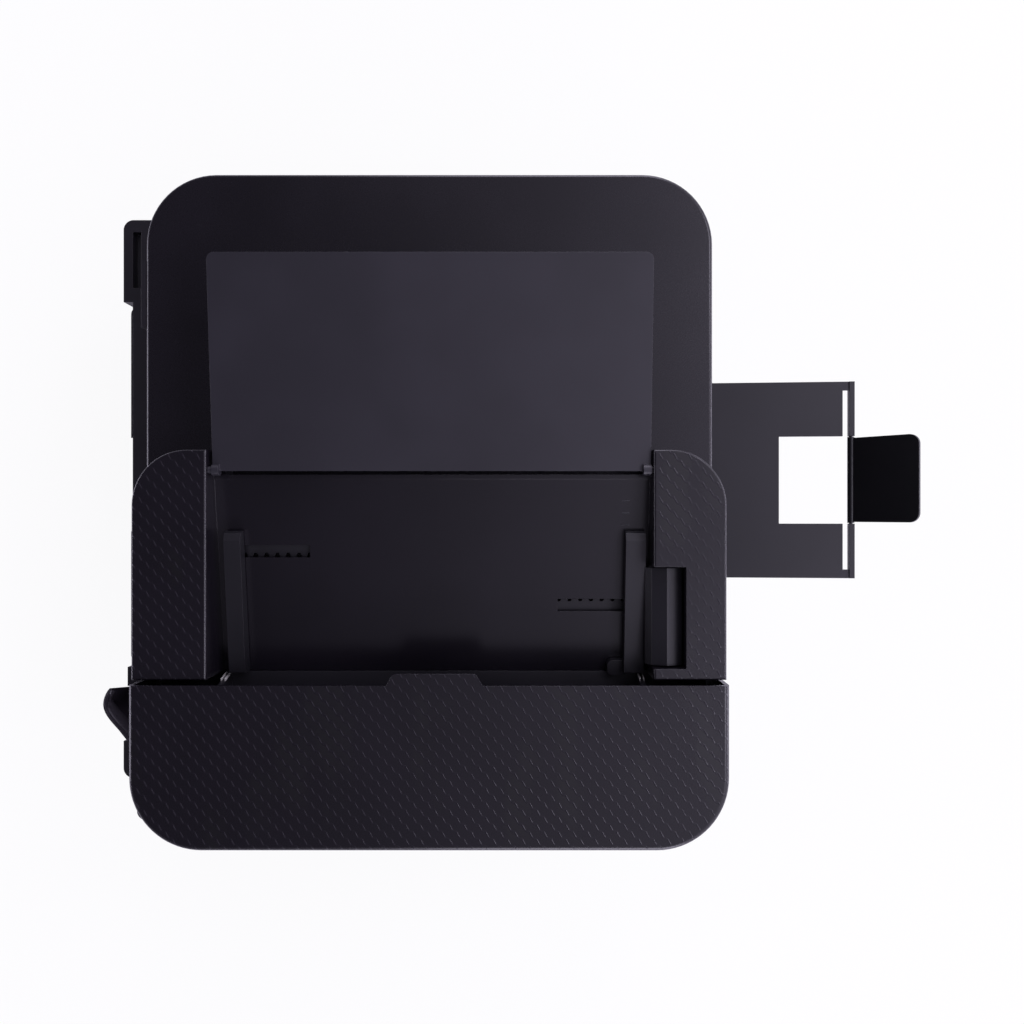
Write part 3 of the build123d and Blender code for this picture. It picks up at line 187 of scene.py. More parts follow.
# the ridge keys below set a painted highlight, the strand and band keys a painted shade
weave = {
    "pitch": 4.0 * mm, "swing": 0.58 * mm, "ridge": (0.2 * mm, 0.75 * mm), "strand": (0.7 * mm, 1.3 * mm),
    "steep": (-0.1, 0.7), "level": 314 * mm, "depth": 0.07 * mm, "edge": 0.4 * mm,
    "shadeBands": 24 * mm, "shadeBandStretch": (0.35, 1.0, 1.0), "shadeBandRange": (0.52, 0.66),
    "strandShadeTint": 0.3, "strandShadeShow": (0.06, 0.6), "ridgeHighlightTint": 2.5, "ridgeHighlightShow": (0.1, 0.6),
    "ridgeHeight": (0.35, 0.65),
}


def wovenPlastic(name, tint, roughness):
    f = Finish(name)
    x, y, z = f.axes()
    turn = 2 * np.pi / weave["pitch"]
    across = (x - y - (y * turn).maths("SINE") * weave["swing"]).wave(weave["pitch"])
    top = f.facing()[2].step(0.6, 0.95) * (z > weave["level"])
    steep = (y * turn).maths("COSINE").step(*weave["steep"])
    ridge = (1.0 - across.step(*weave["ridge"])) * top
    strand = across.step(*weave["strand"]) * top
    # noise bands in which the strands get painted shade
    shadeBand = f.noise(weave["shadeBands"], 2.0, 0.5, weave["shadeBandStretch"]).step(*weave["shadeBandRange"])
    fine = f.noise(0.45 * mm, 2.0, 0.6)
    drift = f.noise(moulded["driftSize"], 2.0)
    shadeLeast, shadeMore = weave["strandShadeShow"]
    highlightLeast, highlightMore = weave["ridgeHighlightShow"]
    flat, raised = weave["ridgeHeight"]
    base = f.blend(drift.step(*moulded["driftRange"]), scaled(tint, 0.9), scaled(tint, 1.1))
    # strands in those bands painted darker: painted shade where the reflection has an edge
    base = f.blend(strand * (shadeLeast + shadeBand * shadeMore), base, scaled(tint, weave["strandShadeTint"]))
    # ridges painted lighter, most on their steep dashes: a painted highlight of light from one side
    base = f.blend(ridge * (highlightLeast + steep * highlightMore), base, scaled(tint, weave["ridgeHighlightTint"]))
    rough = roughness + (fine - 0.5) * 0.06 + strand * shadeBand * 0.1 - ridge * steep * 0.06
    height = ridge * (flat + steep * raised) + fine * 0.02
    relief = f.bump(height, weave["depth"], 1.0, f.softEdge(weave["edge"]))
    return f.surface(Base_Color=base, Roughness=rough, Normal=relief, IOR=1.5)


def sheetSteel(name, tint=colour(0.56, 0.57, 0.58), roughness=0.34):
    # zinc-plated sheet: spangles, rolling lines along Z and a few dull patches
    f = Finish(name)
    tone = f.node("SeparateColor", values=[f.cells(9 * mm, "Color")])
    lines = f.noise(0.5 * mm, 3.0, 0.6, (1.0, 1.0, 0.03))
    patch = f.noise(35 * mm, 4.0).step(0.5, 0.75)
    base = f.blend(tone * 0.35, tint, scaled(tint, 0.75))
    base = f.blend(patch * 0.3, base, colour(0.36, 0.36, 0.35))
    rough = roughness + tone * 0.08 + patch * 0.12 + (lines - 0.5) * 0.06
    relief = f.bump(lines, 0.004 * mm, 0.6, f.softEdge(0.2 * mm))
    return f.surface(Base_Color=base, Roughness=rough, Metallic=1.0, Normal=relief)


def turnedSteel(name, stretch, tint=colour(0.7, 0.7, 0.71), roughness=0.16):
    # ground shaft: fine rings round the axis, slight oil film
    f = Finish(name)
    grooves = f.noise(0.4 * mm, 2.0, 0.5, stretch)
    film = f.noise(14 * mm, 3.0).step(0.45, 0.7)
    base = f.blend(film * 0.35, tint, scaled(tint, 0.7))
    rough = roughness + film * 0.12 + (grooves - 0.5) * 0.08
    relief = f.bump(grooves, 0.003 * mm, 0.5, f.softEdge(0.2 * mm))
    return f.surface(Base_Color=base, Roughness=rough, Metallic=1.0, Normal=relief)


# A shaft with tyres: metal where the distance from its axis is small, rubber beyond it, and gear
# plastic beyond it between the gear's two ends

gearTint = colour(0.74, 0.72, 0.66)
roller = {
    "clear": 0.15 * mm, "metal": colour(0.62, 0.62, 0.63), "metalRough": 0.2, "gearRough": 0.42,
    "treadDepth": 0.12 * mm, "plainDepth": 0.02 * mm, "edge": 0.25 * mm,
}


def rollerFinish(name, axis, centre, shaft, tyre, tyreRoughness, gear=None, tread=0.0):
    # axis is 0 for X or 1 for Y, centre the two other coordinates in metres
    f = Finish(name)
    p = f.axes()
    du, dv = p[1 - axis] - centre[0], p[2] - centre[1]
    radius = (du * du + dv * dv).maths("SQRT")
    angle = dv.maths("ARCTAN2", du)
    isTyre = beyond = radius > shaft + roller["clear"]
    if gear:
        geared = (p[axis] > gear[0]) * (p[axis] < gear[1])
        isTyre = beyond * (1.0 - geared)
        isGear = beyond * geared
    fine = f.noise(0.5 * mm, 3.0, 0.6)
    wear = f.noise(9 * mm, 3.0)
    skin = f.blend(wear.step(0.4, 0.7), tyre, scaled(tyre, 1.5))
    base = f.blend(isTyre, roller["metal"], skin)
    metal = 1.0 - isTyre
    rough = roller["metalRough"] + isTyre * (tyreRoughness - roller["metalRough"]) + (fine - 0.5) * 0.1
    if gear:
        base = f.blend(isGear, base, gearTint)
        metal = metal * (1.0 - isGear)
        rough = rough * (1.0 - isGear) + isGear * roller["gearRough"]
    ridges = (angle * tread).maths("SINE") * isTyre if tread else fine
    depth = roller["treadDepth"] if tread else roller["plainDepth"]
    relief = f.bump(ridges * 0.5 + fine * 0.3, depth, 1.0, f.softEdge(roller["edge"]))
    return f.surface(Base_Color=base, Roughness=rough, Metallic=metal, Normal=relief)


def gearPlastic(name, tint=colour(0.76, 0.74, 0.68)):
    # natural acetal: slightly waxy, grease in patches
    f = Finish(name)
    cloudy = f.noise(12 * mm, 3.0)
    grease = f.noise(6 * mm, 4.0, 0.6).step(0.56, 0.72)
    base = f.blend(cloudy.step(0.35, 0.7), tint, scaled(tint, 0.9))
    base = f.blend(grease * 0.5, base, colour(0.55, 0.52, 0.44))
    rough = 0.42 - grease * 0.22
    relief = f.bump(f.noise(0.7 * mm, 2.0), 0.01 * mm, 0.6, f.softEdge(0.2 * mm))
    return f.surface(
        Base_Color=base, Roughness=rough, Normal=relief, Subsurface_Weight=0.08, Subsurface_Scale=2 * mm,
    )


board = {
    "trackPitch": 2.2 * mm, "trackHalf": 0.35 * mm, "holeSpacing": 5 * mm,
    "mask": colour(0.012, 0.09, 0.04), "copper": colour(0.03, 0.2, 0.1), "pad": colour(0.6, 0.55, 0.4),
    "partTints": (colour(0.015, 0.015, 0.016), colour(0.06, 0.06, 0.07)),
    "socketsFrom": 247 * mm, "pinsFrom": 252.2 * mm, "pinTint": colour(0.66, 0.63, 0.55),
    "pinMiddle": (155.5 * mm, 46 * mm), "pinReach": (8.2 * mm, 5 * mm),
}


def circuitBoard(name, lift, shell, shellMetal):
    # solder mask with lighter copper tracks beneath, dark parts standing on it, sockets behind
    f = Finish(name)
    x, y, z = f.axes()
    upright = y.wave(board["trackPitch"]) < board["trackHalf"]
    level = z.wave(board["trackPitch"]) < board["trackHalf"]
    chooser = f.noise(16 * mm, 1.0).step(0.47, 0.53)
    track = upright * chooser + level * (1.0 - chooser)
    holes = f.cells(board["holeSpacing"]) < 0.1
    base = f.blend(track, board["mask"], board["copper"])
    base = f.blend(holes, base, board["pad"])
    standing = x > lift
    dark = f.blend(f.noise(20 * mm, 1.0).step(0.45, 0.55), *board["partTints"])
    base = f.blend(standing, base, dark)
    behind = y > board["socketsFrom"]
    base = f.blend(behind, base, shell)
    (middleX, middleZ), (reachX, reachZ) = board["pinMiddle"], board["pinReach"]
    beside = ((x - middleX).size() < reachX) * ((z - middleZ).size() < reachZ)
    pins = (y > board["pinsFrom"]) * beside
    base = f.blend(pins, base, board["pinTint"])
    metal = (behind * shellMetal).maths("MAXIMUM", pins)
    rough = 0.28 + standing * 0.2
    relief = f.bump(track * (1.0 - standing), 0.03 * mm, 0.8, f.softEdge(0.2 * mm))
    return f.surface(Base_Color=base, Roughness=rough, Metallic=metal, Normal=relief)


def rubberFoot(name):
    # dull rubber with dust in patches
    f = Finish(name)
    fine = f.noise(0.8 * mm, 4.0, 0.7)
    dust = f.noise(5 * mm, 3.0).step(0.5, 0.75)
    base = f.blend(dust * 0.4, colour(0.022, 0.022, 0.022), colour(0.08, 0.078, 0.075))
    relief = f.bump(fine, 0.05 * mm, 0.7, f.softEdge(0.3 * mm))
    return f.surface(Base_Color=base, Roughness=0.75 + dust * 0.15, Normal=relief)


def whiteSheet(name):
    # a fibrous white sheet with faint smudges
    f = Finish(name)
    fibre = f.noise(0.6 * mm, 4.0, 0.7)
    smudge = f.noise(30 * mm, 3.0).step(0.55, 0.8)
    base = f.blend(smudge * 0.3, colour(0.86, 0.86, 0.85), colour(0.78, 0.78, 0.77))
    base = f.blend(f.facing()[2].size() < 0.5, base, colour(0.3, 0.3, 0.31))  # foam shows at its sides
    relief = f.bump(fibre, 0.02 * mm, 0.5, f.softEdge(0.4 * mm))
    return f.surface(Base_Color=base, Roughness=0.55 + (fibre - 0.5) * 0.1, Normal=relief)


def platenGlass(name):
    # clear glass, duller where it is smeared
    f = Finish(name)
    smear = f.noise(25 * mm, 4.0, 0.6, (1.0, 3.0, 1.0)).step(0.5, 0.8)
    base = f.blend(smear * 0.2, colour(0.5, 0.56, 0.55), colour(0.6, 0.62, 0.62))
    return f.surface(Base_Color=base, Roughness=0.02 + smear * 0.05, Alpha=0.22 + smear * 0.05, IOR=1.5)


drum = {
    "skinFrom": 11.5 * mm, "gearFrom": 4.2 * mm, "gearUpTo": -176 * mm,
    "bare": colour(0.7, 0.71, 0.72), "skin": colour(0.06, 0.3, 0.27),
}


def drumSkin(name, centre, reach):
    # a thin blue-green layer on an aluminium tube, bare at both ends
    f = Finish(name)
    x, y, z = f.axes()
    dy, dz = y - centre[0], z - centre[1]
    radius = (dy * dy + dz * dz).maths("SQRT")
    skin = (radius > drum["skinFrom"]) * ((x - pathMiddle).size() < reach)
    geared = (x < drum["gearUpTo"]) * (radius > drum["gearFrom"])
    turned = f.noise(0.8 * mm, 2.0, 0.5, (1.0, 0.05, 0.05))
    base = f.blend(skin, drum["bare"], drum["skin"])
    base = f.blend(geared, base, gearTint)
    rough = 0.24 - skin * 0.14 + geared * 0.2 + (turned - 0.5) * 0.04
    metal = (1.0 - skin * 0.7) * (1.0 - geared)
    return f.surface(
        Base_Color=base, Roughness=rough, Metallic=metal, Normal=f.softEdge(0.2 * mm), Coat_Weight=skin * 0.6,
    )


black = {
    "shell": colour(0.0066, 0.0056, 0.0082), "case": colour(0.009, 0.0082, 0.011),
    "inner": colour(0.0085, 0.008, 0.0105), "flap": colour(0.0165, 0.0155, 0.0205),
    "stop": colour(0.003, 0.003, 0.004),
}

# for plastics: tint, roughness, size and depth of the grain, radius of a shaded edge
lidShell = mouldedPlastic("lidShell", black["shell"], 0.27, 0.4 * mm, 0.004 * mm, 0.5 * mm, dust=0.03)
flapShell = mouldedPlastic("flapShell", black["flap"], 0.42, 0.45 * mm, 0.008 * mm, 0.4 * mm, dust=0.05)
stopShell = mouldedPlastic("stopShell", black["stop"], 0.38, 0.5 * mm, 0.006 * mm, 0.3 * mm, dust=0.02)
caseShell = mouldedPlastic("caseShell", black["case"], 0.4, 0.6 * mm, 0.012 * mm, 0.5 * mm, dust=0.05)
innerShell = mouldedPlastic("innerShell", black["inner"], 0.4, 0.7 * mm, 0.012 * mm, 0.3 * mm, dust=0.04)
wovenShell = wovenPlastic("wovenShell", black["shell"], 0.25)
# the lip is the scoop's own glossy plastic painted about twice as light: a painted highlight along the rim
glossTint, lipHighlightTint = colour(0.02, 0.017, 0.023), colour(0.042, 0.038, 0.046)
glossShell = mouldedPlastic("glossShell", glossTint, 0.3, 0.8 * mm, 0.002 * mm, 0.6 * mm, 1.52, 0.04)
lipHighlightShell = mouldedPlastic("lipHighlightShell", lipHighlightTint, 0.24, 0.8 * mm, 0.002 * mm, 0.4 * mm, 1.52, 0.04)
greyShell = mouldedPlastic("greyShell", colour(0.23, 0.25, 0.27), 0.45)
keyShell = mouldedPlastic("keyShell", colour(0.035, 0.036, 0.04), 0.3, 0.5 * mm, 0.004 * mm, 0.35 * mm)
startShell = mouldedPlastic("startShell", colour(0.03, 0.2, 0.07), 0.28, 0.5 * mm, 0.004 * mm, 0.35 * mm)
plate = sheetSteel("platedSteel")
innerPlate = sheetSteel("innerPlate", colour(0.48, 0.48, 0.49), 0.4)
shaftX = turnedSteel("shaftX", (1.0, 0.05, 0.05))
motorCan = turnedSteel("motorCan", (1.0, 0.05, 0.05), colour(0.5, 0.5, 0.51), 0.28)
acetal = gearPlastic("acetal")
motherboard = circuitBoard("motherboard", 182.7 * mm, colour(0.6, 0.6, 0.61), 1.0)
supplyBoard = circuitBoard("supplyBoard", 181.7 * mm, colour(0.012, 0.012, 0.013), 0.0)
footRubber = rubberFoot("footRubber")
padSheet = whiteSheet("padSheet")
glassPane = platenGlass("glassPane")
nylon = mouldedPlastic("nylon", colour(0.5, 0.49, 0.46), 0.4, 0.6 * mm, 0.006 * mm, 0.15 * mm)
markPaint = mouldedPlastic("markPaint", colour(0.2, 0.2, 0.21), 0.45, 0.4 * mm, 0.003 * mm, 0.08 * mm)
faintMark = mouldedPlastic("faintMark", colour(0.03, 0.03, 0.034), 0.4, 0.4 * mm, 0.003 * mm, 0.08 * mm)
blackScrew = turnedSteel("blackScrew", (1.0, 1.0, 1.0), colour(0.05, 0.05, 0.052), 0.3)
brightScrew = turnedSteel("brightScrew", (1.0, 1.0, 1.0), colour(0.6, 0.6, 0.61), 0.24)
goldPlate = turnedSteel("goldPlate", (1.0, 1.0, 1.0), colour(0.75, 0.55, 0.2), 0.2)
displayTint = colour(0.012, 0.016, 0.02)
displayGlass = mouldedPlastic("displayGlass", displayTint, 0.08, 0.8 * mm, 0.001 * mm, 0.2 * mm, dust=0.03)
frostedLens = mouldedPlastic("frostedLens", colour(0.75, 0.77, 0.76), 0.35, 0.6 * mm, 0.01 * mm, 0.2 * mm)
greenLens = mouldedPlastic("greenLens", colour(0.02, 0.22, 0.06), 0.16, 0.6 * mm, 0.002 * mm, 0.1 * mm)
amberLens = mouldedPlastic("amberLens", colour(0.4, 0.16, 0.01), 0.16, 0.6 * mm, 0.002 * mm, 0.1 * mm)

rubber, foam = colour(0.03, 0.03, 0.032), colour(0.02, 0.02, 0.021)
sleeve, silicone = colour(0.06, 0.05, 0.048), colour(0.16, 0.05, 0.03)

# each roller's axis by its two other coordinates, and where gears begin and end along it
drumAxis, transferAxis, pickupAxis = (30 * mm, 97 * mm), (30 * mm, 76.7 * mm), (-72 * mm, 71 * mm)
fuserAxis = (182.0005 * mm, 129.2881 * mm)
exitAxis = (174.2359 * mm, 158.2659 * mm)
pressAxis = (189.5005 * mm, 104.7881 * mm)
engineGear = (-184.6 * mm, -177.4 * mm)
feederGear = (172.6 * mm, 178.6 * mm)
feedAxis = (-150 * mm, 286 * mm)
feedExit = (-123.92 * mm, 279.01 * mm)
pickAxis = (-127.88 * mm, 301.49 * mm)
feeding = {"gear": feederGear, "tread": 40.0}

nodeFinish = {
    "base_pan": innerShell, "feet": footRubber, "left_frame": plate, "right_frame": plate,
    "left_cover": caseShell, "right_cover": caseShell, "bay_frame": caseShell, "rear_frame": caseShell,
    "harness_guard": glossShell, "laser_unit": innerShell, "toner_cartridge": innerShell,
    "fuser_frame": innerShell, "main_motor": motorCan, "main_board": motherboard,
    "power_supply": supplyBoard, "scanner_base": caseShell, "carriage_rod": shaftX,
    "scanner_top": caseShell, "scan_glass": glassPane, "hinge_brackets": innerShell,
    "control_panel": lidShell, "front_door": caseShell, "paper_cassette": caseShell,
    "lift_plate": innerPlate, "paper_guide_left": greyShell, "paper_guide_right": greyShell,
    "length_guide": greyShell, "rear_door": caseShell,
    "drum": drumSkin("drumSkin", drumAxis, 110 * mm),
    "transfer_roller": rollerFinish("transferTyre", 0, transferAxis, 3 * mm, foam, 0.7),
    "pickup_roller": rollerFinish("pickupTyre", 0, pickupAxis, 4 * mm, rubber, 0.72, tread=30.0),
    "heat_roller": rollerFinish("heatSleeve", 0, fuserAxis, 6 * mm, sleeve, 0.22, gear=engineGear),
    "pressure_roller": rollerFinish("pressureTyre", 0, pressAxis, 5 * mm, silicone, 0.5),
    "exit_roller": rollerFinish("exitTyre", 0, exitAxis, 3 * mm, rubber, 0.7, gear=engineGear, tread=18.0),
    "drive_gear": acetal, "idler_gear": acetal, "motor_pinion": acetal,
    "output_extension": innerShell, "paper_stop": stopShell, "scan_carriage": innerShell,
    "power_button": keyShell, "stop_button": keyShell, "start_button": startShell, "menu_rocker": keyShell,
    "lid_cover": lidShell, "lid_underplate": innerShell, "platen_pad": padSheet, "hinge_arms": caseShell,
    "adf_base": innerShell, "adf_chute": innerShell, "document_tray": wovenShell, "tray_bottom": innerShell,
    "adf_cover": wovenShell,
    "adf_feed_roller": rollerFinish("feedTyre", 1, feedAxis, 4 * mm, rubber, 0.7, **feeding),
    "adf_exit_roller": rollerFinish("feedExitTyre", 1, feedExit, 3 * mm, rubber, 0.7, gear=feederGear),
    "adf_pick_roller": rollerFinish("pickTyre", 1, pickAxis, 3 * mm, rubber, 0.7, **feeding),
    "document_flap": flapShell, "front_guide": innerShell, "rear_guide": innerShell, "guide_pinion": acetal,
}
for name, material in nodeFinish.items():
    slots = cadNodes[name].data.materials
    slots.clear()
    slots.append(material)
print("finishes on nodes:", len(nodeFinish))


# Shapes as arrays of points: each is a stack of closed rings, drawn in millimetres

def quadsBetween(i, n, count):
    # point j of rings i and n joins point j + 1 of both, for each i with its n
    i, j = (grid.ravel() for grid in np.meshgrid(i, np.arange(count), indexing="ij"))
    k, n = (j + 1) % count, np.repeat(n, count)
    return np.stack([i * count + j, i * count + k, n * count + k, n * count + j], -1).tolist()


def rings(stack):
    # each ring joins the next one; the first and last rings are filled in
    levels, count = stack.shape[:2]
    i = np.arange(levels - 1)
    ends = [list(range(count))[::-1], list(range((levels - 1) * count, levels * count))]
    return stack.reshape(-1, 3), quadsBetween(i, i + 1, count) + ends


def roundedOutline(halfX, halfY, radius, steps=6):
    # four arcs of 90 degrees round the points (+-(halfX - radius), +-(halfY - radius))
    turn = np.arange(4)[:, None] * np.pi / 2 + np.linspace(0, np.pi / 2, steps)
    signs = np.array([(1, 1), (-1, 1), (-1, -1), (1, -1)])
    x = signs[:, :1] * (halfX - radius) + radius * np.cos(turn)
    y = signs[:, 1:] * (halfY - radius) + radius * np.sin(turn)
    return np.stack([x.ravel(), y.ravel()], -1)


def slab(halfX, halfY, radius, profile, steps=6):
    # the outline drawn in by d at height h, for each (d, h) of the profile
    levels = [roundedOutline(halfX - d, halfY - d, max(radius - d, 0.02), steps) for d, h in profile]
    heights = np.array([h for d, h in profile])[:, None, None] * np.ones((1, len(levels[0]), 1))
    return rings(np.concatenate([np.array(levels), heights], -1))


def softBlock(halfX, halfY, height, edge, radius=0.4):
    # a slab whose upper edge is an arc of that radius
    turn = np.linspace(0, np.pi / 2, 4)
    arc = [(edge * (1 - np.cos(a)), height - edge + edge * np.sin(a)) for a in turn]
    return slab(halfX, halfY, radius + edge, [(0.0, 0.0), *arc])


def lathe(profile, steps=40):
    # (r, h) of the profile turned about the upright axis: (r cos a, r sin a, h)
    profile = np.array(profile, float)
    angle = np.linspace(0, 2 * np.pi, steps, endpoint=False)
    radius, height = profile[:, :1], profile[:, 1:]
    return rings(np.stack([radius * np.cos(angle), radius * np.sin(angle), height + 0 * angle], -1))


def washer(inner, outer, height, edge=0.2, steps=40):
    # (r, h) of a rectangle with its upper corners cut, turned about the upright axis and closed on itself
    loop = np.array([
        (inner, 0), (outer, 0), (outer, height - edge), (outer - edge, height), (inner + edge, height),
        (inner, height - edge),
    ], float)
    angle = np.linspace(0, 2 * np.pi, steps, endpoint=False)
    radius, level = loop[:, :1], loop[:, 1:]
    points = np.stack([radius * np.cos(angle), radius * np.sin(angle), level + 0 * angle], -1)
    i = np.arange(len(loop))
    return points.reshape(-1, 3), quadsBetween(i, (i + 1) % len(loop), steps)


def cornerWall(inner, outer, low, high, first, steps=16):
    # a quarter ring of rectangular section: (r cos a, r sin a, h), with a up from the angle first
    angle = first + np.linspace(0, np.pi / 2, steps)[:, None]
    radius = np.array([inner, outer, outer, inner])
    height = np.array([low, low, high, high])
    return rings(np.stack([radius * np.cos(angle), radius * np.sin(angle), height + 0 * angle], -1))


screw = {
    "shares": (1.0, 0.99, 0.93, 0.8, 0.68, 0.62, 0.5, 0.36, 0.2, 0.04), "fall": 0.4,
    "crossHalf": 0.15, "crossReach": 0.66, "crossDepth": 0.45,
}


def screwHead(radius, height):
    # a dome of height h (1 - fall r^2), down to 0 at its rim, with a cross sunk where |x| or |y| is small
    share = np.array(screw["shares"])[:, None]
    angle = np.linspace(0, 2 * np.pi, 48, endpoint=False)
    x, y = radius * share * np.cos(angle), radius * share * np.sin(angle)
    least, most = np.minimum(abs(x), abs(y)), np.maximum(abs(x), abs(y))
    cross = (least < screw["crossHalf"] * radius) & (most < screw["crossReach"] * radius)
    domed = height * (1 - screw["fall"] * share ** 2) * (share < 1.0)
    level = domed - screw["crossDepth"] * height * cross
    return rings(np.stack([x, y, level + 0 * x], -1))


def lensDome(halfX, halfY, height):
    # an elliptical dome: rings shrink as cos a while they rise as sin a
    turn = np.linspace(0, 1.5, 8)[:, None]
    angle = np.linspace(0, 2 * np.pi, 40, endpoint=False)
    x, y = halfX * np.cos(turn) * np.cos(angle), halfY * np.cos(turn) * np.sin(angle)
    return rings(np.stack([x, y, height * np.sin(turn) + 0 * x], -1))


def placed(shape, origin, xAxis=(1, 0, 0), zAxis=(0, 0, 1)):
    # the shape's own x and z laid along two directions from the origin
    points, faces = shape
    x, z = np.array(xAxis, float), np.array(zAxis, float)
    x, z = x / np.linalg.norm(x), z / np.linalg.norm(z)
    return points @ np.stack([x, np.cross(z, x), z]) + np.array(origin, float), faces


def addPiece(name, shapes, material, body, smooth=True):
    # one object from several shapes, its points where they are in the printer, in metres
    points, faces, start = [], [], 0
    for shapePoints, shapeFaces in shapes:
        points.append(shapePoints)
        faces += [[corner + start for corner in face] for face in shapeFaces]
        start += len(shapePoints)
    made = bpy.data.meshes.new(name)
    made.from_pydata((np.concatenate(points) * mm).tolist(), [], faces)
    made.polygons.foreach_set("use_smooth", np.full(len(faces), smooth))
    if smooth:
        made.set_sharp_from_angle(angle=np.radians(35.0))
    made.materials.append(material)
    piece = bpy.data.objects.new(name, made)
    bpy.context.scene.collection.objects.link(piece)
    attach(piece, body)
    return piece


# Scanner base: the wall of its front right corner, which the CAD's bay for the carriage breaks through

corner = {
    "centre": (163.5, -79.0, 0.0), "radii": (39.4, 41.97), "levels": (207.5, 230.0), "first": -np.pi / 2,
}
wall = cornerWall(*corner["radii"], *corner["levels"], corner["first"])
addPiece("base_corner", [placed(wall, corner["centre"])], caseShell, "chassis")


# Control panel: everything on it lies in the panel's own plane

panel = {
    "foot": (0.0, -130.0, 207.0), "rise": (0.0, 7.5, 29.0), "row": 13.48,
    "powerX": -128.0, "rockerX": 62.0, "lensX": 92.0, "stopX": 112.0, "startX": 134.0,
}
panelUp = np.array(panel["rise"]) / np.linalg.norm(panel["rise"])
panelOut = np.array((0.0, -panelUp[2], panelUp[1]))


def onPanel(x, row, lift=0.0):
    # a point of the panel at x, that far up its slope and that far off its face
    return np.array(panel["foot"]) + np.array((x, 0.0, 0.0)) + panelUp * row + panelOut * lift


def laidOnPanel(shape, x, up=0.0, lift=0.0):
    # the shape at x, that far above the middle of the row of keys
    return placed(shape, onPanel(x, panel["row"] + up, lift), (1, 0, 0), panelOut)


display = {
    "x": -30.0, "half": (38.8, 9.3), "radius": 1.8, "lift": -0.79,
    "profile": [(0.0, 0.0), (0.0, 0.45), (0.3, 0.68), (1.6, 0.72), (5.0, 0.74)],
}
window = slab(*display["half"], display["radius"], display["profile"])
window = laidOnPanel(window, display["x"], lift=display["lift"])
addPiece("display_window", [window], displayGlass, "chassis")

rim = {
    "keys": (("stopX", 6.0), ("startX", 7.0), ("powerX", 5.0)), "gap": 0.45, "reach": 1.5,
    "height": 0.35, "edge": 0.12,
}
rims = [
    laidOnPanel(washer(radius + rim["gap"], radius + rim["reach"], rim["height"], rim["edge"]), panel[x])
    for x, radius in rim["keys"]
]
addPiece("key_rims", rims, glossShell, "chassis")

lens = {"size": (2.4, 1.1, 0.7), "up": 5.5}
dome = lensDome(*lens["size"])
for name, side, material in (("ready_lens", 1, greenLens), ("attention_lens", -1, amberLens)):
    shape = laidOnPanel(dome, panel["lensX"], side * lens["up"])
    addPiece(name, [shape], material, "chassis")

# marks on the keys: a ring with a bar on power, a square on stop, a triangle on start, arrows on the rocker
mark = {
    "lift": 0.88, "profile": [(0.0, 0.0), (0.0, 0.08), (0.1, 0.14)], "ring": (1.9, 2.5, 0.14, 0.05),
    "bar": (0.35, 1.5, 0.2), "barUp": 2.0, "square": (1.7, 1.7, 0.3),
    "triangle": [(2.6, 0.0), (2.6, 0.08), (2.4, 0.14)],
    "arrow": [(1.7, 0.0), (1.7, 0.08), (1.55, 0.14)], "arrowUp": 4.4,
}
ring, bar = washer(*mark["ring"]), slab(*mark["bar"], mark["profile"])
square, triangle = slab(*mark["square"], mark["profile"]), lathe(mark["triangle"], 3)
addPiece("power_mark", [
    laidOnPanel(ring, panel["powerX"], 0.0, mark["lift"]),
    laidOnPanel(bar, panel["powerX"], mark["barUp"], mark["lift"]),
], markPaint, "power_button")
square = laidOnPanel(square, panel["stopX"], 0.0, mark["lift"])
addPiece("stop_mark", [square], markPaint, "stop_button")
triangle = laidOnPanel(triangle, panel["startX"], 0.0, mark["lift"])
addPiece("start_mark", [triangle], markPaint, "start_button", False)
arrow = lathe(mark["arrow"], 3)
arrows = []
for side in (1, -1):
    tip = onPanel(panel["rockerX"], panel["row"] + side * mark["arrowUp"], mark["lift"])
    arrows.append(placed(arrow, tip, side * panelUp, panelOut))
addPiece("rocker_marks", arrows, markPaint, "menu_rocker", False)
print("control panel dressed")


# Feeder and tray: pale clips show as two thin ridges on the sloping front edge of each side plate

clip = {
    "x": -102.9, "z": 291.4, "plateMiddles": (-72.5, 169.0), "gap": 1.1, "lean": (-7.0, 0.0, 31.0),
    "half": (0.35, 5.2), "radius": 0.2, "profile": [(0.0, 0.0), (0.0, 1.3), (0.15, 1.5)],
}
ridge = slab(*clip["half"], clip["radius"], clip["profile"])
lean = np.array(clip["lean"]) / np.linalg.norm(clip["lean"])
outward = np.array((lean[2], 0.0, -lean[0]))
clips = [
    placed(ridge, (clip["x"], middle + side * clip["gap"], clip["z"]), np.cross(lean, outward), outward)
    for middle in clip["plateMiddles"] for side in (1, -1)
]
addPiece("plate_clips", clips, nylon, "lid")

# paper-width ticks on the tray's floor beside the front guide
tick = {
    "x": (-14.0, -7.0, 0.0), "y": -62.6, "half": (0.3, 2.2), "radius": 0.2,
    "profile": [(0.0, -0.05), (0.0, 0.06), (0.06, 0.1)],
    "floorFoot": (-100.0, 285.0), "floorRun": 112.0, "floorRise": 18.0,
}
slope = np.arctan2(tick["floorRise"], tick["floorRun"])
footX, footZ = tick["floorFoot"]
tickShape = slab(*tick["half"], tick["radius"], tick["profile"])
ticks = []
for x in tick["x"]:
    place = (x, tick["y"], footZ + (x - footX) * np.tan(slope))
    ticks.append(placed(
        tickShape, place, (np.cos(slope), 0.0, np.sin(slope)), (-np.sin(slope), 0.0, np.cos(slope)),
    ))
addPiece("tray_ticks", ticks, faintMark, "lid")

